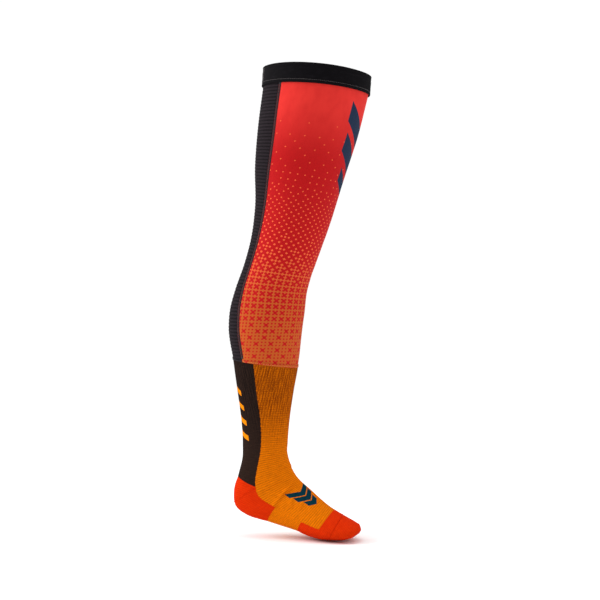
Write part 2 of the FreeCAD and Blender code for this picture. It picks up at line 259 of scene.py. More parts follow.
# ---- lines where the sock's pieces meet ----------------------------------------------------
def from_back(angle):
    """Degrees from the back line, whichever side."""
    return np.abs((np.asarray(angle, float) + 180.0) % 360.0 - 180.0)


def hem_line(angle):
    """Lower edge of the sleeve, which dips towards the shin."""
    return STATIONS["hem"] + 1.5 - 6.0 * np.cos(np.radians(angle))


def heel_top_line(angle):
    """Upper edge of the heel's knit, highest at the back."""
    return STATIONS["heel_top"] + 3.3 + 23.0 * (from_back(angle) / 78.0) ** 2.2


def gore_line(angle):
    """Middle of the heel's gore seam, which curves back towards the cuff at its ends."""
    return STATIONS["heel_back"] + 13.7 - 9.0 * (from_back(angle) / 78.0) ** 2


def heel_front_line(angle):
    """Front edge of the heel under the foot, which curves back towards the cuff at its ends."""
    return STATIONS["arch_back"] + 7.4 - 13.5 * (from_back(angle) / 80.0) ** 1.7


def ball_line(angle):
    """Where the ball's pad starts under the foot, nearer the heel at its ends."""
    return STATIONS["arch_front"] + 5.3 - 7.0 * from_back(angle) / 68.0


TOE_SEAM_AT = STATIONS["ball"] + 5.3


def toe_band_line(angle):
    """Where the toe band starts across the top of the foot."""
    return STATIONS["ball_back"] + 7.1 - 2.0 * np.sin(np.radians(from_back(angle)))


# ---- mesh making ---------------------------------------------------------------------------
def new_piece(name, points, faces, uv, material):
    """Mesh object from points in millimetres, faces and one cloth coordinate for each point."""
    mesh = bpy.data.meshes.new(name)
    mesh.from_pydata((points * MM).tolist(), [], faces)
    layer = mesh.uv_layers.new(name="cloth")
    corners = np.empty(len(mesh.loops), dtype=np.int32)
    mesh.loops.foreach_get("vertex_index", corners)
    layer.data.foreach_set("uv", (uv[corners] * MM).astype(np.float32).ravel())
    mesh.polygons.foreach_set("use_smooth", np.ones(len(mesh.polygons), dtype=bool))
    mesh.materials.append(material)
    mesh.update()
    piece = bpy.data.objects.new(name, mesh)
    bpy.context.scene.collection.objects.link(piece)
    return piece


def grid_faces(rows, columns, closed, offset=0, flip=False):
    """Quads of a grid, wrapped round if closed."""
    faces = []
    last = columns if closed else columns - 1
    for i in range(rows - 1):
        for j in range(last):
            k = (j + 1) % columns
            quad = (i * columns + j, i * columns + k, (i + 1) * columns + k, (i + 1) * columns + j)
            quad = tuple(offset + n for n in quad)
            faces.append(quad[::-1] if flip else quad)
    return faces


def sheet_solid(name, outer, inner, uv, material, closed=False):
    """Closed piece of cloth between two grids of points, rows down the leg and columns round it."""
    rows, columns = outer.shape[:2]
    count = rows * columns
    faces = grid_faces(rows, columns, closed)
    faces += grid_faces(rows, columns, closed, count, True)
    last = columns if closed else columns - 1
    for j in range(last):
        k = (j + 1) % columns
        low = (rows - 1) * columns
        faces.append((k, j, count + j, count + k))
        faces.append((low + j, low + k, count + low + k, count + low + j))
    if not closed:
        for i in range(rows - 1):
            a, b = i * columns, (i + 1) * columns
            faces.append((a, b, count + b, count + a))
            a, b = a + columns - 1, b + columns - 1
            faces.append((b, a, count + a, count + b))
    points = np.concatenate([outer.reshape(-1, 3), inner.reshape(-1, 3)])
    flat = np.concatenate([uv.reshape(-1, 2), uv.reshape(-1, 2)])
    return new_piece(name, points, faces, flat, material)


def spaced(length, step, rim):
    """Shares from 0 to 1 with close steps at both ends, where an edge is rounded."""
    count = max(int(math.ceil(length / step)), 4)
    inner = np.linspace(0, 1, count + 1)
    if not rim:
        return inner
    near = np.array([0.12, 0.4, 0.9]) * rim / length
    keep = inner[(inner > near[-1] * 1.2) & (inner < 1 - near[-1] * 1.2)]
    return np.concatenate([[0], near, keep, 1 - near[::-1], [1]])


def dome(gap, rim):
    """0 at an edge rising to 1 a rim's width inside it, as a rounded edge does."""
    t = np.clip(gap / rim, 0, 1)
    return np.sqrt(np.clip(1 - (1 - t) ** 2, 0, 1))


def cloth(name, material, left, right, start, end, thickness, relief=None, steps=(2.5, 2.5),
          inner=0.0, rim=0.8, rolled="tblr", back=False):
    """A panel between two edges (angle at a distance) and two lines (distance at an angle).

    rolled names the borders with a rounded edge: top, bottom, left and right. The cloth
    coordinates are millimetres round from the front line, or the back line, and down the leg."""
    middle = np.array([float(start(100.0) + end(100.0)) / 2])
    tall = abs(float(end(100.0) - start(100.0)))
    wide = float((arc(middle, right(middle)) - arc(middle, left(middle)))[0])
    down = spaced(tall, steps[0], rim)[:, None]
    across = spaced(wide, steps[1], rim)[None, :]
    distance = start(100.0) + (end(100.0) - start(100.0)) * down + 0 * across
    for _ in range(4):
        angle = left(distance) + (right(distance) - left(distance)) * across
        distance = start(angle) + (end(angle) - start(angle)) * down
    angle = left(distance) + (right(distance) - left(distance)) * across
    round_leg = arc(distance, angle)
    if back:
        round_leg = round_leg - arc(distance, np.zeros_like(angle))
    wide_here = round_leg[:, -1:] - round_leg[:, :1]
    tall_here = end(angle) - start(angle)
    height = np.full(distance.shape, float(thickness))
    if relief:
        height = height + relief(distance, angle, round_leg)
    edge = np.ones(distance.shape)
    for border, gap in (("t", down * tall_here), ("b", (1 - down) * tall_here),
                        ("l", across * wide_here), ("r", (1 - across) * wide_here)):
        if border in rolled:
            edge = edge * dome(gap, rim)
    outer = skin(distance, angle, inner + (height - inner) * (0.45 + 0.55 * edge))
    under = skin(distance, angle, inner)
    uv = np.stack([round_leg, distance], -1)
    piece = sheet_solid(name, outer, under, uv, material)
    return piece, distance, round_leg


def tubes(name, paths, outward, radius, material, sides=6, taper=0.35):
    """Round threads. paths holds one row of points for each thread; outward points off the cloth."""
    paths = np.asarray(paths, float)
    count, length = paths.shape[:2]
    along = np.gradient(paths, axis=1)
    along /= np.linalg.norm(along, axis=2, keepdims=True)
    side = np.cross(along, outward)
    side /= np.linalg.norm(side, axis=2, keepdims=True)
    up = np.cross(side, along)
    size = np.full(length, float(radius))
    size[0] = size[-1] = radius * taper
    turn = np.linspace(0, 2 * math.pi, sides, endpoint=False)
    ring = (np.cos(turn)[:, None] * side[:, :, None, :] + np.sin(turn)[:, None] * up[:, :, None, :])
    points = paths[:, :, None, :] + ring * size[None, :, None, None]
    faces = []
    for n in range(count):
        base = n * length * sides
        faces += grid_faces(length, sides, True, base, True)
        faces.append(tuple(base + j for j in range(sides)))
        faces.append(tuple(base + (length - 1) * sides + j for j in range(sides))[::-1])
    run = np.concatenate([np.zeros((count, 1)),
                          np.cumsum(np.linalg.norm(np.diff(paths, axis=1), axis=2), axis=1)], axis=1)
    uv = np.stack(np.broadcast_arrays(run[:, :, None] + 7.3 * np.arange(count)[:, None, None],
                                      turn[None, None, :] * radius), -1)
    return new_piece(name, points.reshape(-1, 3), faces, uv.reshape(-1, 2), material)


def threads_on_skin(name, distance, angle, lift, radius, material, sides=6, taper=0.35):
    """Threads whose points are given on the leg, one row for each thread."""
    points = skin(distance, angle, lift)
    outward = skin(distance, angle, lift + 1.0) - points
    return tubes(name, points, outward, radius, material, sides, taper)


# ---- the knee's span; pieces at the knee and ankle are baked where they stand, not bent ----
KNEE_AT = (STATIONS["knee_above"] + STATIONS["knee"]) / 2
KNEE_REACH = 66.0


def knee_span():
    """Points on the leg's middle line where the bend at the knee begins and ends."""
    ends = FORM(np.array([KNEE_AT - KNEE_REACH, KNEE_AT + KNEE_REACH]))
    return [(row[0] * MM, 0.0, row[1] * MM) for row in ends]


def bend_at_knee(piece):
    start, end = knee_span()
    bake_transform(piece)


def bend_at_ankle(piece):
    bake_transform(piece)


# ---- materials -----------------------------------------------------------------------------
class Recipe:
    """A node material built up step by step on one cloth shader."""

    def __init__(self, name, roughness, sheen=0.0, specular=0.3):
        self.material = bpy.data.materials.new(name)
        self.material.use_nodes = True
        self.nodes = self.material.node_tree.nodes
        self.links = self.material.node_tree.links
        self.shader = self.nodes["Principled BSDF"]
        self.shader.inputs["Roughness"].default_value = roughness
        self.shader.inputs["Specular IOR Level"].default_value = specular
        self.shader.inputs["Sheen Weight"].default_value = sheen
        self.shader.inputs["Sheen Roughness"].default_value = 0.55

    def plug(self, socket, value):
        """Link a socket to an output, or set it to a plain value."""
        if hasattr(value, "is_output"):
            self.links.new(value, socket)
        elif value is not None:
            socket.default_value = value

    def math(self, operation, first, second=None, clamp=False):
        node = self.nodes.new("ShaderNodeMath")
        node.operation = operation
        node.use_clamp = clamp
        for socket, value in zip(node.inputs, (first, second)):
            self.plug(socket, value)
        return node.outputs[0]

    def add(self, *values):
        total = values[0]
        for value in values[1:]:
            total = self.math("ADD", total, value)
        return total

    def times(self, *values):
        total = values[0]
        for value in values[1:]:
            total = self.math("MULTIPLY", total, value)
        return total

    def less(self, first, second):
        return self.math("LESS_THAN", first, second)

    def more(self, first, second):
        return self.math("GREATER_THAN", first, second)

    def between(self, value, low, high):
        """1 where value lies between low and high."""
        return self.times(self.more(value, low), self.less(value, high))

    def either(self, *values):
        total = values[0]
        for value in values[1:]:
            total = self.math("MAXIMUM", total, value)
        return total

    def smooth(self, value, low, high, bottom=0.0, top=1.0):
        """Value mapped smoothly from low..high to bottom..top."""
        node = self.nodes.new("ShaderNodeMapRange")
        node.interpolation_type = "SMOOTHSTEP"
        for name, number in (("From Min", low), ("From Max", high), ("To Min", bottom),
                             ("To Max", top)):
            node.inputs[name].default_value = number
        self.plug(node.inputs["Value"], value)
        return node.outputs["Result"]

    def cloth_place(self):
        """Millimetres round the leg and down it."""
        place = self.nodes.new("ShaderNodeUVMap")
        place.uv_map = "cloth"
        split = self.nodes.new("ShaderNodeSeparateXYZ")
        self.links.new(place.outputs[0], split.inputs[0])
        return self.times(split.outputs[0], 1000.0), self.times(split.outputs[1], 1000.0)

    def noise(self, across, down, across_scale, down_scale, detail=2.0):
        """Noise from 0 to 1 stretched along the cloth."""
        join = self.nodes.new("ShaderNodeCombineXYZ")
        self.plug(join.inputs[0], self.times(across, across_scale))
        self.plug(join.inputs[1], self.times(down, down_scale))
        node = self.nodes.new("ShaderNodeTexNoise")
        node.inputs["Scale"].default_value = 1.0
        node.inputs["Detail"].default_value = detail
        self.links.new(join.outputs[0], node.inputs["Vector"])
        return node.outputs["Fac"]

    def blend(self, factor, first, second):
        """Mix of two colours."""
        node = self.nodes.new("ShaderNodeMix")
        node.data_type = "RGBA"
        self.plug(node.inputs["Factor"], factor)
        for socket, value in ((node.inputs[6], first), (node.inputs[7], second)):
            self.plug(socket, value if hasattr(value, "is_output") else (*value, 1.0))
        return node.outputs[2]

    def ramp(self, value, stops):
        """Grey level read from (position, level) stops."""
        node = self.nodes.new("ShaderNodeValToRGB")
        band = node.color_ramp
        while len(band.elements) < len(stops):
            band.elements.new(1.0)
        for element, (place, level) in zip(band.elements, stops):
            element.position = place
            element.color = (level, level, level, 1.0)
        self.plug(node.inputs[0], value)
        return node.outputs[0]

    def wave(self, value, pitch):
        """Sine of a length, -1 to 1 over each pitch."""
        return self.math("SINE", self.times(value, 2 * math.pi / pitch))

    def paint(self, colour):
        self.plug(self.shader.inputs["Base Color"], colour)

    def bump(self, height, depth, strength=1.0):
        """Surface relief: height from 0 to 1 stands for a depth in millimetres."""
        node = self.nodes.new("ShaderNodeBump")
        node.inputs["Strength"].default_value = strength
        node.inputs["Distance"].default_value = depth * MM
        self.plug(node.inputs["Height"], height)
        self.links.new(node.outputs[0], self.shader.inputs["Normal"])


def chevron(recipe, across, down, centre, apex, reach, thick, rise):
    """1 inside a V with its point downwards at apex, arms reaching out to each side."""
    out = recipe.math("ABSOLUTE", recipe.math("SUBTRACT", across, centre))
    level = recipe.add(down, recipe.times(out, rise))
    return recipe.times(recipe.less(out, reach), recipe.between(level, apex - thick, apex))


def ordered_threshold(recipe, column, row):
    """Order in which the cells of an eight-cell block fill, from 0 to 1."""
    total = 0.0
    size = 1.0
    for weight in (16.0, 4.0, 1.0):
        odd_column = recipe.math("MODULO", recipe.math("FLOOR", recipe.times(column, 1 / size)), 2.0)
        odd_row = recipe.math("MODULO", recipe.math("FLOOR", recipe.times(row, 1 / size)), 2.0)
        mixed = recipe.math("MODULO", recipe.add(odd_column, odd_row), 2.0)
        total = recipe.add(recipe.times(mixed, 2.0 * weight), recipe.times(odd_row, weight), total)
        size *= 2.0
    return recipe.times(recipe.add(total, 0.5), 1 / 64.0)


LONG_WAY = 8000.0         # keeps cell numbers positive, and is a whole number of blocks
PRINT_SPAN = 500.0        # length of leg that the print's density is given over
PRINT_WIDENING = 1.18     # how much wider than tall the stretched print's cells are
# Place down the leg as a part of PRINT_SPAN, then the share of cells that are printed there.
PRINT_DENSITY = ((0.0, 0.0), (0.11, 0.0), (0.15, 0.05), (0.22, 0.11), (0.27, 0.13), (0.33, 0.25),
                 (0.38, 0.40), (0.42, 0.50), (0.50, 0.51), (0.60, 0.62), (0.68, 0.74),
                 (0.80, 0.79), (0.88, 0.865), (0.91, 0.873), (1.0, 0.873))
# Lowest point of each chevron down the leg, its reach to each side and its thickness.
THIGH_CHEVRONS = ((95.0, 54.0, 34.0), (139.0, 47.0, 31.0), (174.0, 30.0, 22.0))
CHEVRON_RISE = 0.75       # how far an arm climbs for each millimetre out
# Each growth is from and to in millimetres down the leg, then first and last size in cells.
SPOT_GROWTH = (60.0, 380.0, 0.12, 0.34)
ARM_GROWTH = (250.0, 470.0, 0.06, 0.28)
REACH_GROWTH = (240.0, 340.0, 0.24, 0.52)
ARMS_JOINED_FROM, JOIN_REACH = 392.0, 0.455
RED_DARKENS = (15.0, 140.0)
ORANGE_DARKENS = (240.0, 400.0)


def printed_material(sizes, colours):
    """Red stretch cloth printed with orange spots that grow into a lattice down the leg."""
    recipe = Recipe("printed_stretch_cloth", 0.75, 0.02, 0.05)
    across, down = recipe.cloth_place()
    pitch = sizes.print_pitch / MM
    cell_x = recipe.add(recipe.times(across, 1 / (pitch * PRINT_WIDENING)), LONG_WAY)
    cell_y = recipe.add(recipe.times(down, 1 / pitch), LONG_WAY)
    column, row = recipe.math("FLOOR", cell_x), recipe.math("FLOOR", cell_y)
    x = recipe.math("ABSOLUTE", recipe.math("SUBTRACT", recipe.math("FRACT", cell_x), 0.5))
    y = recipe.math("ABSOLUTE", recipe.math("SUBTRACT", recipe.math("FRACT", cell_y), 0.5))
    row_down = recipe.times(recipe.math("SUBTRACT", row, LONG_WAY), pitch / PRINT_SPAN)
    density = recipe.ramp(row_down, PRINT_DENSITY)
    filled = recipe.less(ordered_threshold(recipe, column, row), density)
    radius = recipe.smooth(down, *SPOT_GROWTH)
    spot = recipe.less(recipe.add(recipe.times(x, x), recipe.times(y, y)),
                       recipe.times(radius, radius))
    near, far = recipe.math("MINIMUM", x, y), recipe.math("MAXIMUM", x, y)
    arm = recipe.smooth(down, *ARM_GROWTH)
    reach = recipe.smooth(down, *REACH_GROWTH)
    cross = recipe.times(recipe.less(near, arm), recipe.less(far, reach))
    notch = recipe.times(recipe.less(near, arm), recipe.more(far, JOIN_REACH),
                         recipe.more(down, ARMS_JOINED_FROM))
    printed = recipe.math("MAXIMUM", recipe.times(filled, recipe.either(spot, cross)), notch)
    soft = recipe.noise(across, down, 0.05, 0.03)
    red = recipe.blend(recipe.smooth(down, *RED_DARKENS), colours.red_top, colours.red_low)
    red = recipe.blend(recipe.smooth(soft, 0.35, 0.75, 0.0, 0.25), red, colours.red_low)
    orange = recipe.blend(recipe.smooth(down, *ORANGE_DARKENS), colours.print_top,
                          colours.print_low)
    colour = recipe.blend(printed, red, orange)
    mark = recipe.either(*[chevron(recipe, across, down, 0.0, apex, reach, thick, CHEVRON_RISE)
                           for apex, reach, thick in THIGH_CHEVRONS])
    colour = recipe.blend(mark, colour, colours.mark_navy)
    recipe.paint(colour)
    wales = recipe.wave(across, 0.85)
    courses = recipe.wave(down, 0.7)
    recipe.bump(recipe.add(0.5, recipe.times(wales, courses, 0.4),
                           recipe.times(recipe.noise(across, down, 1.5, 1.5), 0.3)), 0.12, 0.5)
    return recipe.material


def ribbed_material(sizes, colours):
    """Near-black stretch cloth with close crosswise ribs."""
    recipe = Recipe("ribbed_stretch_cloth", 0.85, 0.01, 0.03)
    across, down = recipe.cloth_place()
    rib = recipe.smooth(recipe.wave(recipe.add(down, sizes.rib_pitch / MM / 4),
                                    sizes.rib_pitch / MM), -0.9, 0.6)
    fleck = recipe.noise(across, down, 1.1, 0.8, 3.0)
    dark = recipe.blend(rib, tuple(0.35 * c for c in colours.ribbed_navy), colours.ribbed_navy)
    light = tuple(2.6 * c for c in colours.ribbed_navy)
    recipe.paint(recipe.blend(recipe.smooth(fleck, 0.52, 0.8, 0.0, 0.7), dark, light))
    mesh = recipe.times(recipe.wave(across, 1.2), recipe.wave(down, 1.15))
    recipe.bump(recipe.add(0.5, recipe.times(mesh, 0.5)), 0.15, 0.7)
    return recipe.material


RIBS_GIVE_WAY = (540.0, 640.0)     # down the leg, from upright ribs to rows round the foot
ROWS_DEEPEN = (520.0, 660.0)
# Down the leg, where the shin knit's darkening fades out: partly stretch over the calf, partly
# painted shade.
STRETCH_AND_SHADE_ENDS = (500.0, 720.0)
WIDE_COURSES, CLOSE_COURSES = 3.9, 2.2
TERRY_RIB_PITCH = 2.6


def knit_material(name, light, dark, rib_pitch, course_pitch, marks=None, depth=0.28,
                  stretch_and_shade_depth=0.0):
    """Knitted yarn: streaks along the wales, rows of stitches, and a ground colour that darkens the
    knit towards the sleeve's hem, partly where it is stretched over the calf and partly painted
    shade."""
    recipe = Recipe(name, 0.95, 0.0, 0.015)
    across, down = recipe.cloth_place()
    streak = recipe.noise(across, down, 0.75, 0.045, 3.0)
    rows = recipe.noise(across, down, 0.09, 0.55, 3.0)
    fleck = recipe.noise(across, down, 0.6, 0.5, 3.0)
    leg = recipe.smooth(down, *RIBS_GIVE_WAY, 1.0, 0.0)
    foot = recipe.math("SUBTRACT", 1.0, leg)
    grain = recipe.add(recipe.times(leg, streak), recipe.times(foot, rows))
    heather = recipe.add(recipe.times(grain, 0.55), recipe.times(fleck, 0.45))
    rib = recipe.times(recipe.smooth(recipe.wave(across, rib_pitch), -0.95, 0.3, 0.26, 0.0),
                       recipe.add(leg, 0.12))
    course = recipe.times(recipe.smooth(recipe.wave(down, course_pitch), -1.0, 0.3, 0.3, 0.0),
                          recipe.smooth(down, *ROWS_DEEPEN, 0.3, 1.0))
    # Painted shade together with stretch: the ground darkens towards the sleeve's hem and fades out
    # towards the ankle.
    wear_stretch_and_painted_shade = recipe.smooth(down, *STRETCH_AND_SHADE_ENDS, stretch_and_shade_depth, 0.0)
    mottle = recipe.smooth(heather, 0.36, 0.64, 0.0, 0.42)
    shade = recipe.math("ADD", recipe.add(rib, course, wear_stretch_and_painted_shade),
                        recipe.times(mottle, recipe.add(leg, 0.8)), clamp=True)
    colour = recipe.blend(shade, light, dark)
    if marks:
        mark, ink = marks(recipe, across, down)
        colour = recipe.blend(mark, colour, ink)
    recipe.paint(colour)
    wale = 1.45
    lean = recipe.times(recipe.math("PINGPONG", across, wale / 2), 1.1)
    stitch = recipe.times(recipe.wave(recipe.add(down, lean), 1.3),
                          recipe.math("ABSOLUTE", recipe.wave(across, 2 * wale)))
    recipe.bump(recipe.add(0.5, recipe.times(stitch, 0.45)), depth, 0.8)
    return recipe.material


CALF_BARS_BELOW_HEM = (44.0, 70.0, 96.0, 122.0)
CALF_BAR_REACH, CALF_BAR_THICKNESS, CALF_BAR_RISE = 32.0, 9.0, -0.4
INSTEP_CHEVRONS = ((11.0, 22.0), (27.0, 18.0), (43.0, 12.0))      # place and reach of each
INSTEP_CHEVRON_THICKNESS = 13.5
INSTEP_CENTRE = -22.0


def calf_bars(colours):
    """Orange chevrons knitted down the back of the calf."""
    def marks(recipe, across, down):
        bars = [chevron(recipe, across, down, 0.0, STATIONS["hem"] + below, CALF_BAR_REACH,
                        CALF_BAR_THICKNESS, CALF_BAR_RISE)
                for below in CALF_BARS_BELOW_HEM]
        return recipe.either(*bars), colours.bar_orange
    return marks


def instep_badge(colours):
    """A badge of stacked chevrons knitted into the instep."""
    def marks(recipe, across, down):
        bars = [chevron(recipe, across, down, INSTEP_CENTRE, STATIONS["arch_back"] + below, reach,
                        INSTEP_CHEVRON_THICKNESS, CHEVRON_RISE)
                for below, reach in INSTEP_CHEVRONS]
        return recipe.either(*bars), colours.badge_teal
    return marks


def thread_material(name, light, dark, roughness=0.55):
    """Twisted sewing thread."""
    recipe = Recipe(name, roughness, 0.05, 0.15)
    along, about = recipe.cloth_place()
    twist = recipe.smooth(recipe.wave(recipe.add(along, recipe.times(about, 0.6)), 0.7), -0.8, 0.8)
    recipe.paint(recipe.blend(twist, dark, light))
    recipe.bump(twist, 0.12, 0.8)
    return recipe.material


def elastic_material(sizes, colours):
    """Tightly woven black elastic with fine upright ribs."""
    recipe = Recipe("woven_elastic", 0.75, 0.0, 0.035)
    across, down = recipe.cloth_place()
    rib = recipe.smooth(recipe.wave(across, 1.25), -0.9, 0.5)
    pick = recipe.wave(down, 0.9)
    # In the elastic these are lighter worn patches at random.
    wear_stretch_and_painted_shade = recipe.noise(across, down, 0.08, 0.3, 3.0)
    ground = recipe.blend(rib, tuple(0.45 * c for c in colours.cuff_black), colours.cuff_black)
    recipe.paint(recipe.blend(recipe.smooth(wear_stretch_and_painted_shade, 0.45, 0.8, 0.0, 0.5), ground,
                              tuple(1.8 * c for c in colours.cuff_black)))
    recipe.bump(recipe.add(recipe.times(rib, 0.6), recipe.times(pick, 0.2)), 0.2, 0.7)
    return recipe.material


def silicone_material(sizes, colours):
    """Smoky silicone on a dark tape."""
    recipe = Recipe("gripper_silicone", 0.35, 0.0, 0.5)
    across, down = recipe.cloth_place()
    cloud = recipe.noise(across, down, 0.2, 0.4, 3.0)
    recipe.paint(recipe.blend(cloud, (0.02, 0.02, 0.022), (0.07, 0.07, 0.075)))
    recipe.bump(recipe.noise(across, down, 2.0, 2.0), 0.08, 0.4)
    return recipe.material


def floor_material():
    """Pale stage floor with a faint speckle."""
    recipe = Recipe("pale_floor", 0.9, 0.0, 0.1)
    place = recipe.nodes.new("ShaderNodeTexCoord")
    speck = recipe.nodes.new("ShaderNodeTexNoise")
    speck.inputs["Scale"].default_value = 30.0
    recipe.links.new(place.outputs["Object"], speck.inputs["Vector"])
    recipe.paint(recipe.blend(speck.outputs["Fac"], (0.96, 0.96, 0.96), (0.98, 0.98, 0.98)))
    return recipe.material


def shin_material(sizes, colours):
    # The shin knit gets a darker ground towards the hem: partly the knit's stretch over the calf,
    # partly painted shade.
    return knit_material("orange_shin_knit", colours.knit_orange, colours.knit_rust,
                         sizes.knit_rib_pitch / MM, WIDE_COURSES, instep_badge(colours),
                         stretch_and_shade_depth=0.32)


def arch_material(sizes, colours):
    return knit_material("orange_arch_knit", colours.knit_orange, colours.knit_rust,
                         sizes.knit_rib_pitch / MM, CLOSE_COURSES)


def calf_material(sizes, colours):
    return knit_material("dark_calf_knit", colours.knit_grey, colours.knit_black,
                         sizes.knit_rib_pitch / MM, CLOSE_COURSES, calf_bars(colours))


def heel_material(sizes, colours):
    return knit_material("red_terry_knit", colours.knit_red, colours.knit_dark_red, TERRY_RIB_PITCH,
                         sizes.course_pitch / MM, None, 0.35)


def dark_thread_material(sizes, colours):
    return thread_material("dark_thread", (0.03, 0.03, 0.035), (0.008, 0.008, 0.01))


def red_thread_material(sizes, colours):
    return thread_material("red_thread", (0.22, 0.02, 0.02), (0.03, 0.006, 0.008))


def grey_thread_material(sizes, colours):
    return thread_material("grey_thread", (0.16, 0.14, 0.14), (0.07, 0.06, 0.06))


def orange_thread_material(sizes, colours):
    return thread_material("orange_thread", (0.8, 0.36, 0.12), (0.5, 0.16, 0.04))


def rust_thread_material(sizes, colours):
    return thread_material("rust_thread", (0.45, 0.035, 0.012), (0.2, 0.012, 0.006))


# ---- what a user would change --------------------------------------------------------------
def tone(red, green, blue):
    """Scene colour from display values of 0 to 255."""
    return tuple((c / 12.92 if c <= 0.04045 else ((c + 0.055) / 1.055) ** 2.4)
                 for c in (red / 255, green / 255, blue / 255))


def length_value(name, description, default, low, high):
    return FloatProperty(name=name, description=description, default=default, min=low, max=high,
                         unit="LENGTH", precision=5)


def colour_value(name, description, *display):
    return FloatVectorProperty(name=name, description=description, default=tone(*display), size=3,
                               min=0.0, max=1.0, subtype="COLOR")


class BraceSockSizes(bpy.types.PropertyGroup):
    """Cloth, yarn and stitch sizes"""
    print_pitch: length_value("Print pitch", "Distance down the leg between printed spots",
                              0.0054, 0.002, 0.02)
    rib_pitch: length_value("Rib pitch", "Distance between the back panel's ribs",
                            0.0058, 0.002, 0.02)
    rib_depth: length_value("Rib depth", "Height of the back panel's ribs", 0.0005, 0.0, 0.002)
    knit_rib_pitch: length_value("Knit rib pitch", "Distance between the sock's upright ribs",
                                 0.0048, 0.002, 0.02)
    knit_rib_depth: length_value("Knit rib depth", "Height of the sock's ribs", 0.00035, 0.0, 0.002)
    course_pitch: length_value("Course pitch", "Distance between raised rows of the foot knit",
                               0.0026, 0.001, 0.01)
    stair: length_value("Zone stair", "How far the edge of a knitted colour steps sideways",
                        0.0003, 0.0, 0.003)
    stitch_pitch: length_value("Stitch pitch", "Distance between stitches in the sleeve's seams",
                               0.0026, 0.001, 0.01)
    thread_radius: length_value("Thread radius", "Half the thickness of the sewing thread",
                                0.0003, 0.0001, 0.001)


class BraceSockColours(bpy.types.PropertyGroup):
    """Colours of the cloth, yarn and print"""
    red_top: colour_value("Red, top", "Front panel under the cuff", 222, 52, 46)
    red_low: colour_value("Red, lower", "Front panel below the upper thigh", 180, 21, 24)
    print_top: colour_value("Print, top", "First printed spots", 236, 98, 58)
    print_low: colour_value("Print, lower", "Printed lattice at the shin", 186, 86, 34)
    mark_navy: colour_value("Mark", "Chevrons on the thigh", 30, 44, 68)
    ribbed_navy: colour_value("Ribbed cloth", "Back panel", 36, 30, 34)
    cuff_black: colour_value("Elastic", "Cuff", 17, 15, 18)
    knit_orange: colour_value("Orange knit", "Shin, arch and instep", 234, 121, 4)
    # Also the ground that darkens the shin towards the hem: partly stretched knit, partly painted
    # shade.
    knit_rust: colour_value("Orange knit, shade", "Between the ribs, and where the knit is stretched",
                            126, 56, 6)
    knit_black: colour_value("Dark knit", "Calf", 15, 11, 12)
    knit_grey: colour_value("Dark knit, fleck", "Raised stitches on the calf", 48, 34, 28)
    knit_red: colour_value("Red knit", "Heel, ball and toes", 218, 52, 8)
    knit_dark_red: colour_value("Red knit, shade", "Between the rows", 178, 24, 3)
    bar_orange: colour_value("Calf chevrons", "Bars down the back", 231, 133, 10)
    badge_teal: colour_value("Instep badge", "Chevrons on the instep", 8, 48, 60)


class BraceSockStudio(bpy.types.PropertyGroup):
    """Camera, floor and light"""
    azimuth: FloatProperty(name="Camera angle", description="Turn of the camera from the outer side",
                           default=math.radians(8.0), subtype="ANGLE")
    distance: length_value("Camera distance", "From the leg to the camera", 2.5, 0.5, 10.0)
    view_width: length_value("View width", "Width of the view at the leg", 1.0476, 0.2, 5.0)
    aim_ahead: length_value("Aim ahead", "Aim in front of the frame's middle", 0.0001, -1.0, 1.0)
    aim_up: length_value("Aim up", "Aim above the frame's middle", 0.0037, -1.0, 1.0)
    floor_radius: length_value("Floor radius", "Half the width of the floor", 4.0, 0.5, 20.0)
    top_power: FloatProperty(name="Top light", description="Power of the overhead softbox, in watts",
                             default=8.0, min=0.0)
    side_power: FloatProperty(name="Side light", description="Power of the left softbox, in watts",
                              default=24.0, min=0.0)
    surround: FloatProperty(name="Surround", description="Brightness of the tent all round",
                            default=0.13, min=0.0)
    side_light: FloatProperty(name="Tent sides", description="Extra brightness to left and right",
                              default=1.15, min=0.0)
    top_light: FloatProperty(name="Tent top", description="Extra brightness overhead",
                             default=1.15, min=0.0)


# ---- shared by the operators ---------------------------------------------------------------
RECIPES = {
    "printed": printed_material, "ribbed": ribbed_material, "elastic": elastic_material,
    "silicone": silicone_material, "shin": shin_material, "arch": arch_material,
    "calf": calf_material, "heel": heel_material, "dark_thread": dark_thread_material,
    "red_thread": red_thread_material, "grey_thread": grey_thread_material,
    "orange_thread": orange_thread_material, "rust_thread": rust_thread_material,
}
MADE = {}


def material(context, name):
    """A finish by name, made the first time that a piece asks for it."""
    if name not in MADE:
        scene = context.scene
        MADE[name] = RECIPES[name](scene.brace_sock_sizes, scene.brace_sock_colours)
    return MADE[name]


SLEEVE_START = CLEARANCE
HALF_SEAM = SEAM_WIDTH / 2
STAIR_PITCH = 2.6      # length of leg between two sideways steps of a colour's edge
ZONE_GAP = 0.1         # how far a knitted zone stops short of the line it meets


def seam_side(side, offset, whole_turn=0.0):
    """A line beside the sleeve's seam: side 1 is the outer seam, -1 the inner one."""
    return lambda d: whole_turn + turned(d, side * sleeve_edge(d), offset)


def stair(distance, depth):
    """Sideways steps along the edge of a knitted colour, one for each STAIR_PITCH of leg."""
    course = np.floor(np.asarray(distance, float) / STAIR_PITCH)
    return depth * (np.mod(course * 5, 3) - 1.0)


def zone_side(side, offset, depth, whole_turn=0.0):
    """The edge between the front and back knit: side 1 is the outer edge, -1 the inner one."""
    return lambda d: whole_turn + turned(d, side * knit_edge(d), offset + side * stair(d, depth))


def flat_line(distance):
    return lambda angle: distance + 0.0 * np.asarray(angle, float)


def shifted(line, offset):
    return lambda angle: line(angle) + offset


def hump(value, centre, width):
    """1 at the centre, falling to 0 like a soft fold."""
    return np.exp(-((value - centre) / width) ** 2)


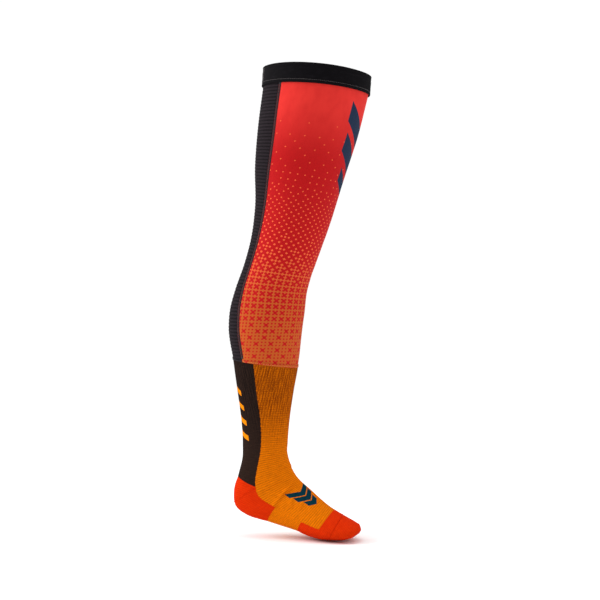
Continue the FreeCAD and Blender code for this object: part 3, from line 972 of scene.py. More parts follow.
# ---- relief of each cloth ------------------------------------------------------------------
def sleeve_swell(distance, angle, round_leg):
    """The slight waves of a stretched sleeve, deeper behind and beside the knee."""
    waves = (np.sin(distance / 17.0 + 2.1 * np.sin(np.radians(angle)))
             * np.sin(distance / 7.3 + round_leg / 23.0))
    return 0.12 * waves * (0.4 + hump(distance, KNEE_AT, 70.0))


def crosswise_ribs(pitch, depth):
    """Rounded ribs running round the leg."""
    def relief(distance, angle, round_leg):
        rib = 0.5 + 0.5 * np.cos(2 * math.pi * distance / pitch)
        return depth * (rib ** 0.7 - 1.0) + 0.4 * sleeve_swell(distance, angle, round_leg)
    return relief


def upright_ribs(pitch, depth, fade_at):
    """Uneven ribs running down the leg, fading out towards the foot."""
    def relief(distance, angle, round_leg):
        wander = 0.9 * np.sin(round_leg / 9.1) + 0.5 * np.sin(round_leg / 3.7 + distance / 60.0)
        rib = 0.5 + 0.5 * np.cos(2 * math.pi * (round_leg + wander) / pitch)
        gripped = 1.0 - 0.5 * hump(distance, STATIONS["hem"], 14.0)
        return depth * (rib ** 0.8 - 1.0) * (1 - step_up(distance, fade_at - 30, fade_at + 20)) \
            - 0.5 * (1 - gripped)
    return relief


def foot_rows(pitch, depth):
    """Raised rows that run round the ankle and foot."""
    def relief(distance, angle, round_leg):
        row = 0.5 + 0.5 * np.cos(2 * math.pi * distance / pitch)
        return depth * (row - 1.0)
    return relief


# start and end of each crease as (distance, angle from the back), its height and half width
ANKLE_CREASES = [
    ((741.0, 80.0), (727.0, 120.0), 2.1, 3.4),
    ((728.0, 118.0), (717.5, 146.0), 1.9, 3.2),
    ((705.0, 88.0), (700.0, 128.0), 0.8, 4.0),
    ((762.0, 96.0), (742.0, 128.0), 1.5, 3.4),
    ((778.0, 104.0), (760.0, 138.0), 1.2, 3.2),
    ((795.0, 112.0), (780.0, 146.0), 0.6, 3.2),
    ((652.0, 96.0), (646.0, 140.0), 0.5, 5.0),
    ((676.0, 150.0), (680.0, 180.0), 0.6, 4.0),
]


def ankle_creases(distance, angle):
    """Soft folds where the knit gathers in front of the ankle, on both sides of the leg."""
    height = np.zeros(np.broadcast(distance, angle).shape)
    for mirror, scale in ((1, 1.0), (-1, 0.85)):
        around = angle if mirror == 1 else 360.0 - angle
        for (d0, a0), (d1, a1), tall, half in ANKLE_CREASES:
            along = np.clip((around - a0) / (a1 - a0), 0, 1)
            off_line = distance - (d0 + (d1 - d0) * along) - (0 if mirror == 1 else 2.5)
            past = np.maximum(0, np.maximum(a0 - around, around - a1)) * 0.7
            height += scale * tall * np.exp(-(off_line / half) ** 2 - (past / 7.0) ** 2)
            height -= 0.35 * scale * tall * np.exp(-((off_line - 1.9 * half) / half) ** 2
                                                   - (past / 7.0) ** 2)
    return height


def ridge(width, height):
    """A rounded ridge, given the distance from its middle line."""
    return lambda off: height * np.sqrt(np.clip(1 - (off / (width / 2)) ** 2, 0, 1))


# ---- operators -----------------------------------------------------------------------------
class SockOperator(bpy.types.Operator):
    """Shared by the operators that make pieces"""
    bl_options = {"REGISTER", "UNDO"}

    def execute(self, context):
        scene = context.scene
        self.make(context, scene.brace_sock_sizes, scene.brace_sock_colours)
        return {"FINISHED"}


def cuff_points(angle, height, radius):
    """Points about the cuff's own axis: degrees from the back, height and radius."""
    angle, height, radius = np.broadcast_arrays(angle, height, radius)
    height = height + cuff_bow(angle, height)
    turn, slope = np.radians(angle), math.radians(CUFF_TILT)
    ahead = -np.cos(turn) * radius
    return np.stack([ahead * math.cos(slope) + height * math.sin(slope), -np.sin(turn) * radius,
                     height * math.cos(slope) - ahead * math.sin(slope)], -1)


CUFF_LOW, CUFF_HIGH = -CUFF_HEIGHT / 2 - CUFF_OVERLAP, CUFF_HEIGHT / 2
CUFF_MIDDLE = (CUFF_INNER + CUFF_OUTER) / 2


def cuff_section():
    """Outline of the elastic, as (height, radius): rolled hem, flat wall and folded rim."""
    half = CUFF_THICKNESS / 2
    turn = np.radians(np.linspace(0, 180, 9))
    rim = [(CUFF_HIGH - 1.3 + 1.3 * math.sin(t), CUFF_MIDDLE + (half + 0.25) * math.cos(t))
           for t in turn]
    hem = [(CUFF_LOW + 1.2 - 1.2 * math.sin(t), CUFF_MIDDLE - (half + 0.15) * math.cos(t))
           for t in turn]
    heights = np.linspace(CUFF_LOW, CUFF_HIGH, 34)[2:-2]

    def swell(height):
        fold = 0.35 * hump(height, CUFF_HIGH - 7.5, 1.2) + 0.4 * hump(height, stitch_height(), 1.4)
        return half - fold + 0.12 * math.sin(height / 2.6)
    outside = [(h, CUFF_MIDDLE + swell(h)) for h in heights]
    inside = [(h, CUFF_MIDDLE - half) for h in heights[::-1]]
    return np.array(outside + rim + inside + hem)


def stitch_height():
    return CUFF_LOW + CUFF_STITCH_HEIGHT


def cuff_wave(angle, height):
    """The cuff's rim bows slightly in and out."""
    rise = step_up(height, CUFF_LOW, CUFF_HIGH)
    return rise * (0.35 * np.sin(np.radians(3 * angle + 40)) + 0.18 * np.sin(np.radians(7 * angle)))


def cuff_bow(angle, height):
    """How much the elastic rides up at the sides of the thigh, most of all at its rim."""
    side = -np.cos(np.radians(2 * angle))
    return (0.9 + 0.8 * step_up(height, CUFF_LOW, CUFF_HIGH)) * side


class BRACESOCK_OT_cuff_band(SockOperator):
    """Weave the elastic cuff, open where its ends meet"""
    bl_idname = "brace_sock.cuff_band"
    bl_label = "Cuff band"

    def make(self, context, sizes, colours):
        section = cuff_section()
        gap = math.degrees((CUFF_JOIN_WIDTH / 2) / CUFF_OUTER)
        angles = np.linspace(CUFF_JOIN_ANGLE + gap, CUFF_JOIN_ANGLE + 360 - gap, 361)
        heights, radii = section[:, 0][:, None], section[:, 1][:, None]
        turn = angles[None, :]
        reach = radii + cuff_wave(turn, heights) + 0.06 * np.sin(np.radians(turn * 90))
        points = cuff_points(turn, heights + 0 * turn, reach)
        round_cuff = np.radians(turn - 180.0) * CUFF_MIDDLE + 0 * heights
        run = np.concatenate([[0], np.cumsum(np.linalg.norm(np.diff(section, axis=0), axis=1))])
        uv = np.stack([round_cuff, np.broadcast_to(-run[:, None], round_cuff.shape)], -1)
        rows, columns = points.shape[:2]
        faces = [tuple(q[::-1]) for q in grid_faces(columns, rows, True)]
        faces += [tuple(range(rows)), tuple((columns - 1) * rows + i for i in range(rows))[::-1]]
        order = points.transpose(1, 0, 2).reshape(-1, 3)
        piece = new_piece("cuff_elastic", order, faces, uv.transpose(1, 0, 2).reshape(-1, 2),
                          material(context, "elastic"))
        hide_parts("cuff_band")
        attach(piece, "thigh")


class BRACESOCK_OT_cuff_join(SockOperator):
    """Overlock the two ends of the cuff"""
    bl_idname = "brace_sock.cuff_join"
    bl_label = "Cuff join"

    def make(self, context, sizes, colours):
        half = math.degrees(0.5 * (CUFF_JOIN_WIDTH - 0.3) / CUFF_OUTER)
        heights = np.linspace(CUFF_LOW + 0.6, CUFF_HIGH - 0.6, 60)[:, None]
        angles = np.linspace(CUFF_JOIN_ANGLE - half, CUFF_JOIN_ANGLE + half, 9)[None, :]
        bow = 0.3 * np.sin(np.linspace(0, math.pi, 9))[None, :]
        wave = cuff_wave(angles, heights)
        outer = cuff_points(angles, heights, CUFF_OUTER - 0.75 + bow + wave)
        inner = cuff_points(angles, heights, CUFF_INNER + 0.2 + wave)
        round_cuff = np.radians(angles - 180.0) * CUFF_MIDDLE + 0 * heights
        uv = np.stack([round_cuff, -heights + 0 * angles], -1)
        piece = sheet_solid("cuff_join_tape", outer, inner, uv, material(context, "dark_thread"))
        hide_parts("cuff_join_seam")
        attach(piece, "thigh")
        pitch = 1.5
        starts = np.arange(CUFF_LOW + 1.5, CUFF_HIGH - 2.0, pitch)
        across = np.linspace(-1, 1, 7)[None, :]
        reach = math.degrees(2.3 / CUFF_OUTER)
        turn = CUFF_JOIN_ANGLE + reach * across + 0 * starts[:, None]
        height = starts[:, None] + 0.5 * pitch * (across + 1)
        dip = 0.55 * (1 - across ** 2)
        radius = CUFF_OUTER + 0.22 - dip + cuff_wave(turn, height)
        paths = cuff_points(turn, height, radius)
        outward = cuff_points(turn, height, radius + 1) - paths
        thread = tubes("cuff_join_thread", paths, outward, sizes.thread_radius / MM,
                       material(context, "grey_thread"))
        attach(thread, "thigh")


class BRACESOCK_OT_cuff_stitching(SockOperator):
    """Stitch round the cuff above its hem"""
    bl_idname = "brace_sock.cuff_stitching"
    bl_label = "Cuff stitching"

    def make(self, context, sizes, colours):
        count = 168
        open_turn = 4.0
        starts = np.linspace(CUFF_JOIN_ANGLE + open_turn, CUFF_JOIN_ANGLE + 360 - open_turn, count)
        share = np.linspace(0, 0.74, 7)[None, :] * (starts[1] - starts[0])
        turn = starts[:, None] + share
        slant = np.where(np.arange(count) % 2, 1.0, -1.0)[:, None]
        height = stitch_height() + slant * np.linspace(-0.32, 0.32, 7)[None, :]
        sink = 0.3 * np.cos(np.linspace(-math.pi / 2, math.pi / 2, 7))[None, :]
        radius = CUFF_OUTER - 0.42 + sink + cuff_wave(turn, height)
        paths = cuff_points(turn, height, radius)
        outward = cuff_points(turn, height, radius + 1) - paths
        piece = tubes("cuff_stitches", paths, outward, sizes.thread_radius / MM,
                      material(context, "grey_thread"))
        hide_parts("cuff_stitching")
        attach(piece, "thigh")


class BRACESOCK_OT_gripper_tape(SockOperator):
    """Line the cuff with tape and print silicone waves on it"""
    bl_idname = "brace_sock.gripper_tape"
    bl_label = "Gripper tape"

    def make(self, context, sizes, colours):
        low, high = -CUFF_HEIGHT / 2 + 0.5, CUFF_HIGH - 1.6
        heights = np.linspace(low, high, 18)[:, None]
        angles = np.linspace(0, 360, 181)[:-1][None, :]
        wave = cuff_wave(angles, heights)
        edge = np.minimum(1, np.minimum(heights - low, high - heights) / 1.2)
        face = CUFF_BORE_RADIUS + 1.0 - 0.5 * edge + wave
        back = CUFF_INNER - 0.12 + wave + 0 * heights
        uv = np.stack([np.radians(angles - 180) * CUFF_BORE_RADIUS + 0 * heights,
                       -heights + 0 * angles], -1)
        tape = sheet_solid("gripper_lining", cuff_points(angles, heights, back),
                           cuff_points(angles, heights, face), uv,
                           material(context, "elastic"), closed=True)
        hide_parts("gripper_tape")
        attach(tape, "thigh")
        rows = np.array([-12.0, -6.0, 0.0, 6.0, 12.0])[:, None]
        turn = np.linspace(0, 359.2, 450)[None, :] + 4.0 * rows
        height = rows + 1.5 * np.sin(np.radians(turn * 36))
        radius = CUFF_BORE_RADIUS + 0.42 + cuff_wave(turn, height)
        paths = cuff_points(turn, height, radius)
        outward = cuff_points(turn, height, radius + 1) - paths
        beads = tubes("gripper_silicone_waves", paths, outward, 0.62, material(context, "silicone"),
                      sides=8, taper=0.5)
        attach(beads, "thigh")


class BRACESOCK_OT_front_panel(SockOperator):
    """Cut the printed panel over the thigh, knee and shin"""
    bl_idname = "brace_sock.front_panel"
    bl_label = "Front panel"

    def make(self, context, sizes, colours):
        piece, distance, round_leg = cloth(
            "front_panel", material(context, "printed"),
            seam_side(1, HALF_SEAM + CLEARANCE / 2), seam_side(-1, -HALF_SEAM - CLEARANCE / 2, 360.0),
            flat_line(SLEEVE_START), shifted(hem_line, -HEM_WIDTH), PRINT_THICKNESS,
            sleeve_swell, (2.4, 2.6), rolled="lr")
        bend_at_knee(piece)
        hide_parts("front_panel_thigh", "front_panel_knee", "front_panel_calf")


class BRACESOCK_OT_back_panel(SockOperator):
    """Cut the ribbed panel over the back of the leg"""
    bl_idname = "brace_sock.back_panel"
    bl_label = "Back panel"

    def make(self, context, sizes, colours):
        piece, distance, round_leg = cloth(
            "back_panel", material(context, "ribbed"),
            seam_side(-1, HALF_SEAM + CLEARANCE / 2), seam_side(1, -HALF_SEAM - CLEARANCE / 2),
            flat_line(SLEEVE_START), shifted(hem_line, -HEM_WIDTH), RIB_THICKNESS + 0.2,
            crosswise_ribs(sizes.rib_pitch / MM, sizes.rib_depth / MM), (0.72, 3.4), rolled="lr",
            back=True)
        bend_at_knee(piece)
        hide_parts("back_panel_thigh", "back_panel_knee", "back_panel_calf")


class BRACESOCK_OT_sleeve_seams(SockOperator):
    """Join the sleeve's panels with flatlock seams"""
    bl_idname = "brace_sock.sleeve_seams"
    bl_label = "Sleeve seams"

    def make(self, context, sizes, colours):
        top, bottom = SLEEVE_START, float(hem_line(54.0)) - HEM_WIDTH
        crown = ridge(SEAM_WIDTH + 0.4, 0.55)
        base = RIB_THICKNESS - 0.15
        pitch = sizes.stitch_pitch / MM
        radius = sizes.thread_radius / MM
        for side, word in ((1, "outer"), (-1, "inner")):
            def lifted(distance, angle, round_leg):
                off = arc(distance, angle) - arc(distance, side * sleeve_edge(distance))
                return crown(off) + 0.12 * np.sin(2 * math.pi * distance / pitch)
            tape, distance, round_leg = cloth(
                "seam_" + word, material(context, "dark_thread"), seam_side(side, -HALF_SEAM),
                seam_side(side, HALF_SEAM), flat_line(top), shifted(hem_line, -HEM_WIDTH), base,
                lifted, (1.3, 0.8), rolled="lr")
            bend_at_knee(tape)
            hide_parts(*["seam_%s_%s" % (word, zone) for zone in ("thigh", "knee", "calf")])
            starts = np.arange(top + 4, bottom - pitch, pitch)[:, None]
            across = np.linspace(-1, 1, 7)[None, :]
            slant = np.where(np.arange(len(starts)) % 2, 1.0, -1.0)[:, None]
            cross_at = starts + 0.42 * pitch * slant * across
            offset = across * (HALF_SEAM - 0.25)
            self.sew("seam_%s_cover_thread" % word, context, "red_thread", side, cross_at,
                     offset + 0 * cross_at, base + crown(offset) + 0.12, radius)
            for row, place in enumerate((-1.45, 1.45)):
                run_at = starts + np.linspace(0.0, 0.72, 6)[None, :] * pitch
                sunk = 0.16 * np.sin(np.linspace(0, math.pi, 6))[None, :]
                self.sew("seam_%s_needle_thread_%d" % (word, row + 1), context, "red_thread", side,
                         run_at, place + 0 * run_at, base + crown(place) + 0.22 + sunk, radius)

    def sew(self, name, context, finish, side, distance, offset, lift, radius):
        angle = turned(distance, side * sleeve_edge(distance), offset)
        thread = threads_on_skin(name, distance, angle, lift + 0 * distance, radius,
                                 material(context, finish))
        bend_at_knee(thread)


class BRACESOCK_OT_hem(SockOperator):
    """Fold the sleeve's hem over the sock's top and stitch it down"""
    bl_idname = "brace_sock.hem"
    bl_label = "Sleeve hem"

    def make(self, context, sizes, colours):
        columns = 360
        angles = np.linspace(0, 360, columns, endpoint=False)[None, :]
        share = np.array([0, 0.06, 0.15, 0.3, 0.45, 0.6, 0.72, 0.82, 0.9, 0.95, 0.985, 1.0])[:, None]
        distance = hem_line(angles) - HEM_WIDTH * (1 - share) + 0.3 * share
        dip = 0.2 * hump(share, 0.55, 0.12) * (0.5 + 0.5 * np.cos(np.radians(angles * 90)))
        proud = KNIT_THICKNESS + SEAM_PROUD - 0.1
        height = RIB_THICKNESS + (proud - RIB_THICKNESS) * step_up(share, 0.0, 0.5) - dip
        height = 0.9 + (height - 0.9) * dome(1.0 - share, 0.16)
        outer = skin(distance, angles, height)
        inner = skin(distance, angles, 0.0 * height)
        round_leg = arc(distance, angles)
        uv = np.stack([round_leg, distance], -1)
        piece = sheet_solid("sleeve_hem", outer, inner, uv, material(context, "printed"), closed=True)
        piece.data.materials.append(material(context, "ribbed"))
        edge = float(sleeve_edge(STATIONS["hem"]))
        for face in piece.data.polygons:
            column = face.vertices[0] % columns
            if from_back(360.0 * column / columns) < edge:
                face.material_index = 1
        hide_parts("hem_seam")
        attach(piece, "shank")
        stitches = 96
        starts = np.linspace(0, 360, stitches, endpoint=False)[:, None]
        turn = starts + np.linspace(0, 0.66, 7)[None, :] * 360 / stitches
        sunk = 0.22 * np.sin(np.linspace(0, math.pi, 7))[None, :]
        behind = from_back(turn[:, 3]) < edge
        for row, up in enumerate((1.4, 4.3)):
            at = hem_line(turn) - up + 0.25 * np.sin(np.radians(turn * 7))
            lift = proud - 0.15 * row + 0.02 + sunk + 0 * at
            front = "rust_thread" if row else "orange_thread"
            for place, chosen, finish in (("front", ~behind, front), ("back", behind, "dark_thread")):
                thread = threads_on_skin("hem_%s_thread_%d" % (place, row + 1), at[chosen],
                                         turn[chosen], lift[chosen], sizes.thread_radius / MM,
                                         material(context, finish))
                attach(thread, "shank")


RIBS_FADE_AT = 640.0                    # down the leg, where the upright ribs end
ROWS_BEGIN, ROWS_FULL = 610.0, 665.0    # and where the foot's rows begin and are full


class BRACESOCK_OT_leg_knit(SockOperator):
    """Knit the sock's leg: orange from the shin to the toes, dark over the calf"""
    bl_idname = "brace_sock.leg_knit"
    bl_label = "Leg and instep knit"

    def make(self, context, sizes, colours):
        step = sizes.stair / MM
        ribs = upright_ribs(sizes.knit_rib_pitch / MM, sizes.knit_rib_depth / MM, RIBS_FADE_AT)
        rows = foot_rows(sizes.course_pitch / MM, 0.22)

        def relief(distance, angle, round_leg):
            foot = step_up(distance, ROWS_BEGIN, ROWS_FULL)
            return (ribs(distance, angle, round_leg) + foot * rows(distance, angle, round_leg)
                    + ankle_creases(distance, angle))
        piece, distance, round_leg = cloth(
            "shin_and_instep_knit", material(context, "shin"), zone_side(1, 0.1, step),
            zone_side(-1, -0.1, step, 360.0), shifted(hem_line, 0.05), toe_band_line,
            KNIT_THICKNESS, relief, (1.0, 1.15), rolled="")
        bend_at_ankle(piece)
        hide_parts("shin_knit", "ankle_front_knit", "instep_knit")
        piece, distance, round_leg = cloth(
            "calf_and_ankle_knit", material(context, "calf"), zone_side(-1, 0.1, step),
            zone_side(1, -0.1, step), shifted(hem_line, 0.05), shifted(heel_top_line, -0.1),
            KNIT_THICKNESS, ribs, (1.2, 1.0), rolled="", back=True)
        bend_at_ankle(piece)
        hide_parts("calf_knit", "ankle_back_knit")


def sole_piece(context, sizes, name, finish, start, end, thickness, relief, steps=(0.9, 1.4)):
    """A knitted zone on the heel, sole or ball, between the two zone edges."""
    step = sizes.stair / MM
    piece, distance, round_leg = cloth(
        name, material(context, finish), zone_side(-1, 0.1, step), zone_side(1, -0.1, step),
        start, end, thickness, relief, steps, rolled="", back=True)
    bend_at_ankle(piece)
    return piece, distance, round_leg


def puffed(start, end, rows, rise):
    """Terry knit that swells from the height of its neighbours towards the zone's middle."""
    def relief(distance, angle, round_leg):
        gap = np.minimum(distance - start(angle), end(angle) - distance)
        side = (knit_edge(distance) - from_back(angle)) * 0.6
        return (rows(distance, angle, round_leg)
                + rise * step_up(np.minimum(gap, side), 0.0, 9.0))
    return relief


class BRACESOCK_OT_heel(SockOperator):
    """Knit the heel pocket with its gore seam"""
    bl_idname = "brace_sock.heel"
    bl_label = "Heel"

    def make(self, context, sizes, colours):
        rows = foot_rows(sizes.course_pitch / MM, 0.26)
        rise = PAD_THICKNESS - KNIT_THICKNESS
        half = GORE_WIDTH / 2
        body = puffed(heel_top_line, heel_front_line, rows, rise)
        zones = [
            ("heel_upper", shifted(heel_top_line, ZONE_GAP), shifted(gore_line, -half)),
            ("heel_lower", shifted(gore_line, half), shifted(heel_front_line, -ZONE_GAP)),
        ]
        for name, start, end in zones:
            piece, distance, round_leg = sole_piece(
                context, sizes, name + "_knit", "heel", start, end, KNIT_THICKNESS, body)
            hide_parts(name)

        def gore(distance, angle, round_leg):
            off = distance - gore_line(angle)
            return body(distance, angle, round_leg) + 0.45 * hump(off, 0, 0.75) \
                - 0.3 * hump(np.abs(off), 1.3, 0.4)
        piece, distance, round_leg = sole_piece(
            context, sizes, "heel_gore_knit", "heel", shifted(gore_line, -half),
            shifted(gore_line, half), KNIT_THICKNESS, gore, (0.3, 1.4))
        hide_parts("heel_gore_seam")


BEYOND_THE_TOES = 2000.0    # ribs that fade here run the whole length of the foot


class BRACESOCK_OT_sole(SockOperator):
    """Knit the arch and the ball of the foot"""
    bl_idname = "brace_sock.sole"
    bl_label = "Arch and ball"

    def make(self, context, sizes, colours):
        rows = foot_rows(sizes.course_pitch / MM, 0.22)
        lengthways = upright_ribs(sizes.knit_rib_pitch / MM, 0.25, BEYOND_THE_TOES)

        def gathered(distance, angle, round_leg):
            return 0.6 * rows(distance, angle, round_leg) + lengthways(distance, angle, round_leg)
        piece, distance, round_leg = sole_piece(
            context, sizes, "arch_knit", "arch", shifted(heel_front_line, ZONE_GAP),
            shifted(ball_line, -ZONE_GAP), KNIT_THICKNESS, gathered)
        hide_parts("arch_band")
        toes = flat_line(TOE_SEAM_AT - TOE_SEAM_WIDTH / 2)
        piece, distance, round_leg = sole_piece(
            context, sizes, "ball_terry", "heel", shifted(ball_line, ZONE_GAP), toes,
            KNIT_THICKNESS, puffed(ball_line, toes, rows, PAD_THICKNESS - KNIT_THICKNESS))
        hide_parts("ball_pad")


class BRACESOCK_OT_toes(SockOperator):
    """Knit the toe band, close the toes and link the seam across them"""
    bl_idname = "brace_sock.toes"
    bl_label = "Toes"

    def make(self, context, sizes, colours):
        rows = foot_rows(sizes.course_pitch / MM, 0.22)
        step = sizes.stair / MM
        half = TOE_SEAM_WIDTH / 2
        piece, distance, round_leg = cloth(
            "toe_band_knit", material(context, "heel"), zone_side(1, 0.1, step),
            zone_side(-1, -0.1, step, 360.0), shifted(toe_band_line, 0.1),
            flat_line(TOE_SEAM_AT - half), KNIT_THICKNESS, rows, (0.9, 1.4), rolled="")
        bend_at_ankle(piece)
        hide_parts("toe_band")
        self.seam(context, half)
        self.cap(context, rows, half)

    def seam(self, context, half):
        angles = np.linspace(0, 360, 180, endpoint=False)[None, :]
        distance = TOE_SEAM_AT + np.linspace(-half, half, 13)[:, None] + 0 * angles
        off = distance - TOE_SEAM_AT
        links = 0.12 * np.cos(np.radians(angles * 60))
        height = (KNIT_THICKNESS + 0.75 * hump(off, -0.35, 0.65) * (1 + links)
                  - 0.8 * hump(off, 0.75, 0.4))
        outer, inner = skin(distance, angles, height), skin(distance, angles, 0 * height)
        uv = np.stack([arc(distance, angles), distance], -1)
        piece = sheet_solid("toe_linking", outer, inner, uv, material(context, "heel"), closed=True)
        bend_at_ankle(piece)
        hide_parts("toe_seam")

    def cap(self, context, rows, half):
        """The toes: rings down to the tip, drawn together to a rounded end."""
        columns = 150
        angles = np.linspace(0, 360, columns, endpoint=False)[None, :]
        start, tip = TOE_SEAM_AT + half, STATIONS["toe_tip"]
        distance = np.linspace(start, tip, 46)[:, None] + 0 * angles
        round_leg = arc(distance, angles)
        lift = KNIT_THICKNESS + rows(distance, angles, round_leg)
        outer = skin(distance, angles, lift)
        inner = skin(distance, angles, 0 * lift)
        last_in = int(np.argmin(np.abs(distance[:, 0] - STATIONS["toe_end"])))
        layers = [outer[i] for i in range(len(outer))]
        middle = outer[-1].mean(axis=0)
        nose = np.array([1.3, 0, -0.25])
        layers += [middle + (outer[-1] - middle) * math.cos(math.radians(t))
                   + nose * math.sin(math.radians(t)) for t in (30, 55, 75)]
        inward = [inner[i] for i in range(last_in + 1)]
        rings = np.array(inward[::-1] + layers)
        count = len(rings) * columns
        points = np.concatenate([rings.reshape(-1, 3), [rings[-1].mean(axis=0) + nose * 0.03],
                                 [rings[0].mean(axis=0)]])
        faces = grid_faces(len(rings), columns, True)
        last = count - columns
        for j in range(columns):
            k = (j + 1) % columns
            faces.append((last + j, last + k, count))
            faces.append((k, j, count + 1))
        along = np.concatenate([distance[:last_in + 1, 0][::-1], distance[:, 0],
                                tip + np.array([1.0, 1.8, 2.4])])
        around = np.broadcast_to(arc(np.full_like(angles, start), angles), (len(rings), columns))
        flat = np.stack([around, np.broadcast_to(along[:, None], around.shape)], -1).reshape(-1, 2)
        flat = np.concatenate([flat, [[0.0, tip + 3.0], [0.0, STATIONS["toe_end"]]]])
        piece = new_piece("toe_pocket", points, faces, flat, material(context, "heel"))
        bend_at_ankle(piece)
        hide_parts("toe_cap")


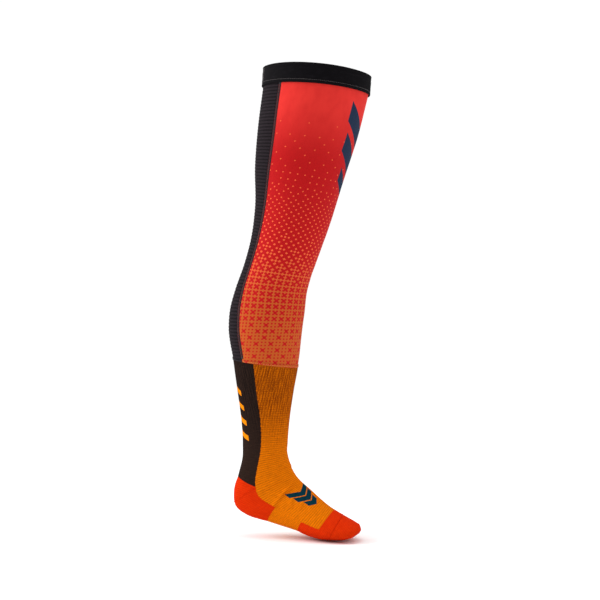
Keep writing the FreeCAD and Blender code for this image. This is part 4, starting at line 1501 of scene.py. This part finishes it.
class BRACESOCK_OT_stage(bpy.types.Operator):
    """Set the pale floor, the soft lights and the camera"""
    bl_idname = "brace_sock.stage"
    bl_label = "Stage"
    bl_options = {"REGISTER", "UNDO"}

    def execute(self, context):
        studio = context.scene.brace_sock_studio
        low, high = (Vector(corner) for corner in CAD_BOX)
        middle = (low + high) / 2
        self.floor(context, studio, low.z)
        self.lights(context, studio, middle)
        self.camera(context, studio, middle)
        context.scene.view_settings.view_transform = "Standard"
        return {"FINISHED"}

    def floor(self, context, studio, level):
        sides, rings = 96, 24
        angles = np.linspace(0, 2 * math.pi, sides, endpoint=False)
        radii = np.linspace(0.05, studio.floor_radius, rings)
        points = [(r * math.cos(a), r * math.sin(a), level) for r in radii for a in angles]
        faces = [tuple(range(sides))] + grid_faces(rings, sides, True, 0, True)
        mesh = bpy.data.meshes.new("studio_floor")
        mesh.from_pydata(points, [], faces)
        mesh.materials.append(floor_material())
        mesh.update()
        floor = bpy.data.objects.new("studio_floor", mesh)
        context.scene.collection.objects.link(floor)

    def lights(self, context, studio, middle):
        world = bpy.data.worlds.new("white_tent")
        world.use_nodes = True
        nodes, links = world.node_tree.nodes, world.node_tree.links
        place, split = nodes.new("ShaderNodeTexCoord"), nodes.new("ShaderNodeSeparateXYZ")
        links.new(place.outputs["Generated"], split.inputs[0])

        def scaled(operation, value, other):
            node = nodes.new("ShaderNodeMath")
            node.operation = operation
            links.new(value, node.inputs[0])
            if hasattr(other, "is_output"):
                links.new(other, node.inputs[1])
            else:
                node.inputs[1].default_value = other
            return node.outputs[0]
        sideways = scaled("MULTIPLY", scaled("POWER", scaled("ABSOLUTE", split.outputs[0], 0.0), 3.0),
                          studio.side_light)
        overhead = scaled("MULTIPLY", scaled("MAXIMUM", split.outputs[2], 0.0), studio.top_light)
        total = scaled("ADD", scaled("ADD", sideways, overhead), studio.surround)
        nodes["Background"].inputs["Color"].default_value = (1.0, 1.0, 1.0, 1.0)
        links.new(total, nodes["Background"].inputs["Strength"])
        context.scene.world = world
        self.backdrop(context, studio, middle)
        for name, place, size, power in (
                ("top_softbox", Vector((0.1, -0.1, 2.2)), 1.6, studio.top_power),
                ("left_softbox", Vector((-1.9, -0.5, 0.9)), 1.1, studio.side_power)):
            light = bpy.data.lights.new(name, "AREA")
            light.shape = "DISK"
            light.size = size
            light.energy = power
            lamp = bpy.data.objects.new(name, light)
            lamp.location = middle + place
            lamp.rotation_euler = (-place).to_track_quat("-Z", "Y").to_euler()
            context.scene.collection.objects.link(lamp)

    def backdrop(self, context, studio, middle):
        """A white dome that only the camera sees."""
        mesh = bpy.data.meshes.new("studio_backdrop")
        form = bmesh.new()
        bmesh.ops.create_uvsphere(form, u_segments=48, v_segments=24, radius=2 * studio.floor_radius)
        bmesh.ops.reverse_faces(form, faces=form.faces)
        form.to_mesh(mesh)
        form.free()
        white = bpy.data.materials.new("backdrop_white")
        white.use_nodes = True
        glow = white.node_tree.nodes["Principled BSDF"]
        glow.inputs["Base Color"].default_value = (0.0, 0.0, 0.0, 1.0)
        glow.inputs["Emission Color"].default_value = (1.0, 1.0, 1.0, 1.0)
        glow.inputs["Emission Strength"].default_value = 1.0
        mesh.materials.append(white)
        dome = bpy.data.objects.new("studio_backdrop", mesh)
        dome.location = middle
        dome.visible_diffuse = dome.visible_glossy = dome.visible_transmission = False
        dome.visible_shadow = dome.visible_volume_scatter = False
        context.scene.collection.objects.link(dome)

    def camera(self, context, studio, middle):
        lens = bpy.data.cameras.new("studio_camera")
        lens.sensor_width = 36.0
        lens.lens = lens.sensor_width * studio.distance / studio.view_width
        camera = bpy.data.objects.new("studio_camera", lens)
        away = Vector((math.sin(studio.azimuth), -math.cos(studio.azimuth), 0.0))
        aim = middle + Vector((studio.aim_ahead, 0.0, studio.aim_up))
        aim.y = 0.0
        camera.location = aim + away * studio.distance
        camera.rotation_euler = (-away).to_track_quat("-Z", "Y").to_euler()
        context.scene.collection.objects.link(camera)
        context.scene.camera = camera


PIECE_OPERATORS = (
    BRACESOCK_OT_cuff_band, BRACESOCK_OT_cuff_join, BRACESOCK_OT_cuff_stitching,
    BRACESOCK_OT_gripper_tape, BRACESOCK_OT_front_panel, BRACESOCK_OT_back_panel,
    BRACESOCK_OT_sleeve_seams, BRACESOCK_OT_hem, BRACESOCK_OT_leg_knit, BRACESOCK_OT_heel,
    BRACESOCK_OT_sole, BRACESOCK_OT_toes, BRACESOCK_OT_stage,
)


class BRACESOCK_PT_panel(bpy.types.Panel):
    """Pieces, sizes and colours of the brace sock"""
    bl_idname = "BRACESOCK_PT_panel"
    bl_label = "Brace sock"
    bl_space_type = "VIEW_3D"
    bl_region_type = "UI"
    bl_category = "Brace sock"

    def draw(self, context):
        column = self.layout.column(align=True)
        for operator in PIECE_OPERATORS:
            column.operator(operator.bl_idname)
        for group in (context.scene.brace_sock_sizes, context.scene.brace_sock_colours,
                      context.scene.brace_sock_studio):
            box = self.layout.box()
            for field in group.__annotations__:
                box.prop(group, field)


SETTINGS = (("brace_sock_sizes", BraceSockSizes), ("brace_sock_colours", BraceSockColours),
            ("brace_sock_studio", BraceSockStudio))


def register():
    for name, group in SETTINGS:
        bpy.utils.register_class(group)
        setattr(bpy.types.Scene, name, PointerProperty(type=group))
    for operator in PIECE_OPERATORS:
        bpy.utils.register_class(operator)
    bpy.utils.register_class(BRACESOCK_PT_panel)


def unregister():
    bpy.utils.unregister_class(BRACESOCK_PT_panel)
    for operator in reversed(PIECE_OPERATORS):
        bpy.utils.unregister_class(operator)
    for name, group in reversed(SETTINGS):
        delattr(bpy.types.Scene, name)
        bpy.utils.unregister_class(group)


def main():
    register()
    for operator in PIECE_OPERATORS:
        category, name = operator.bl_idname.split(".")
        getattr(getattr(bpy.ops, category), name)()
    bpy.context.view_layer.update()


if __name__ == "__main__":
    main()
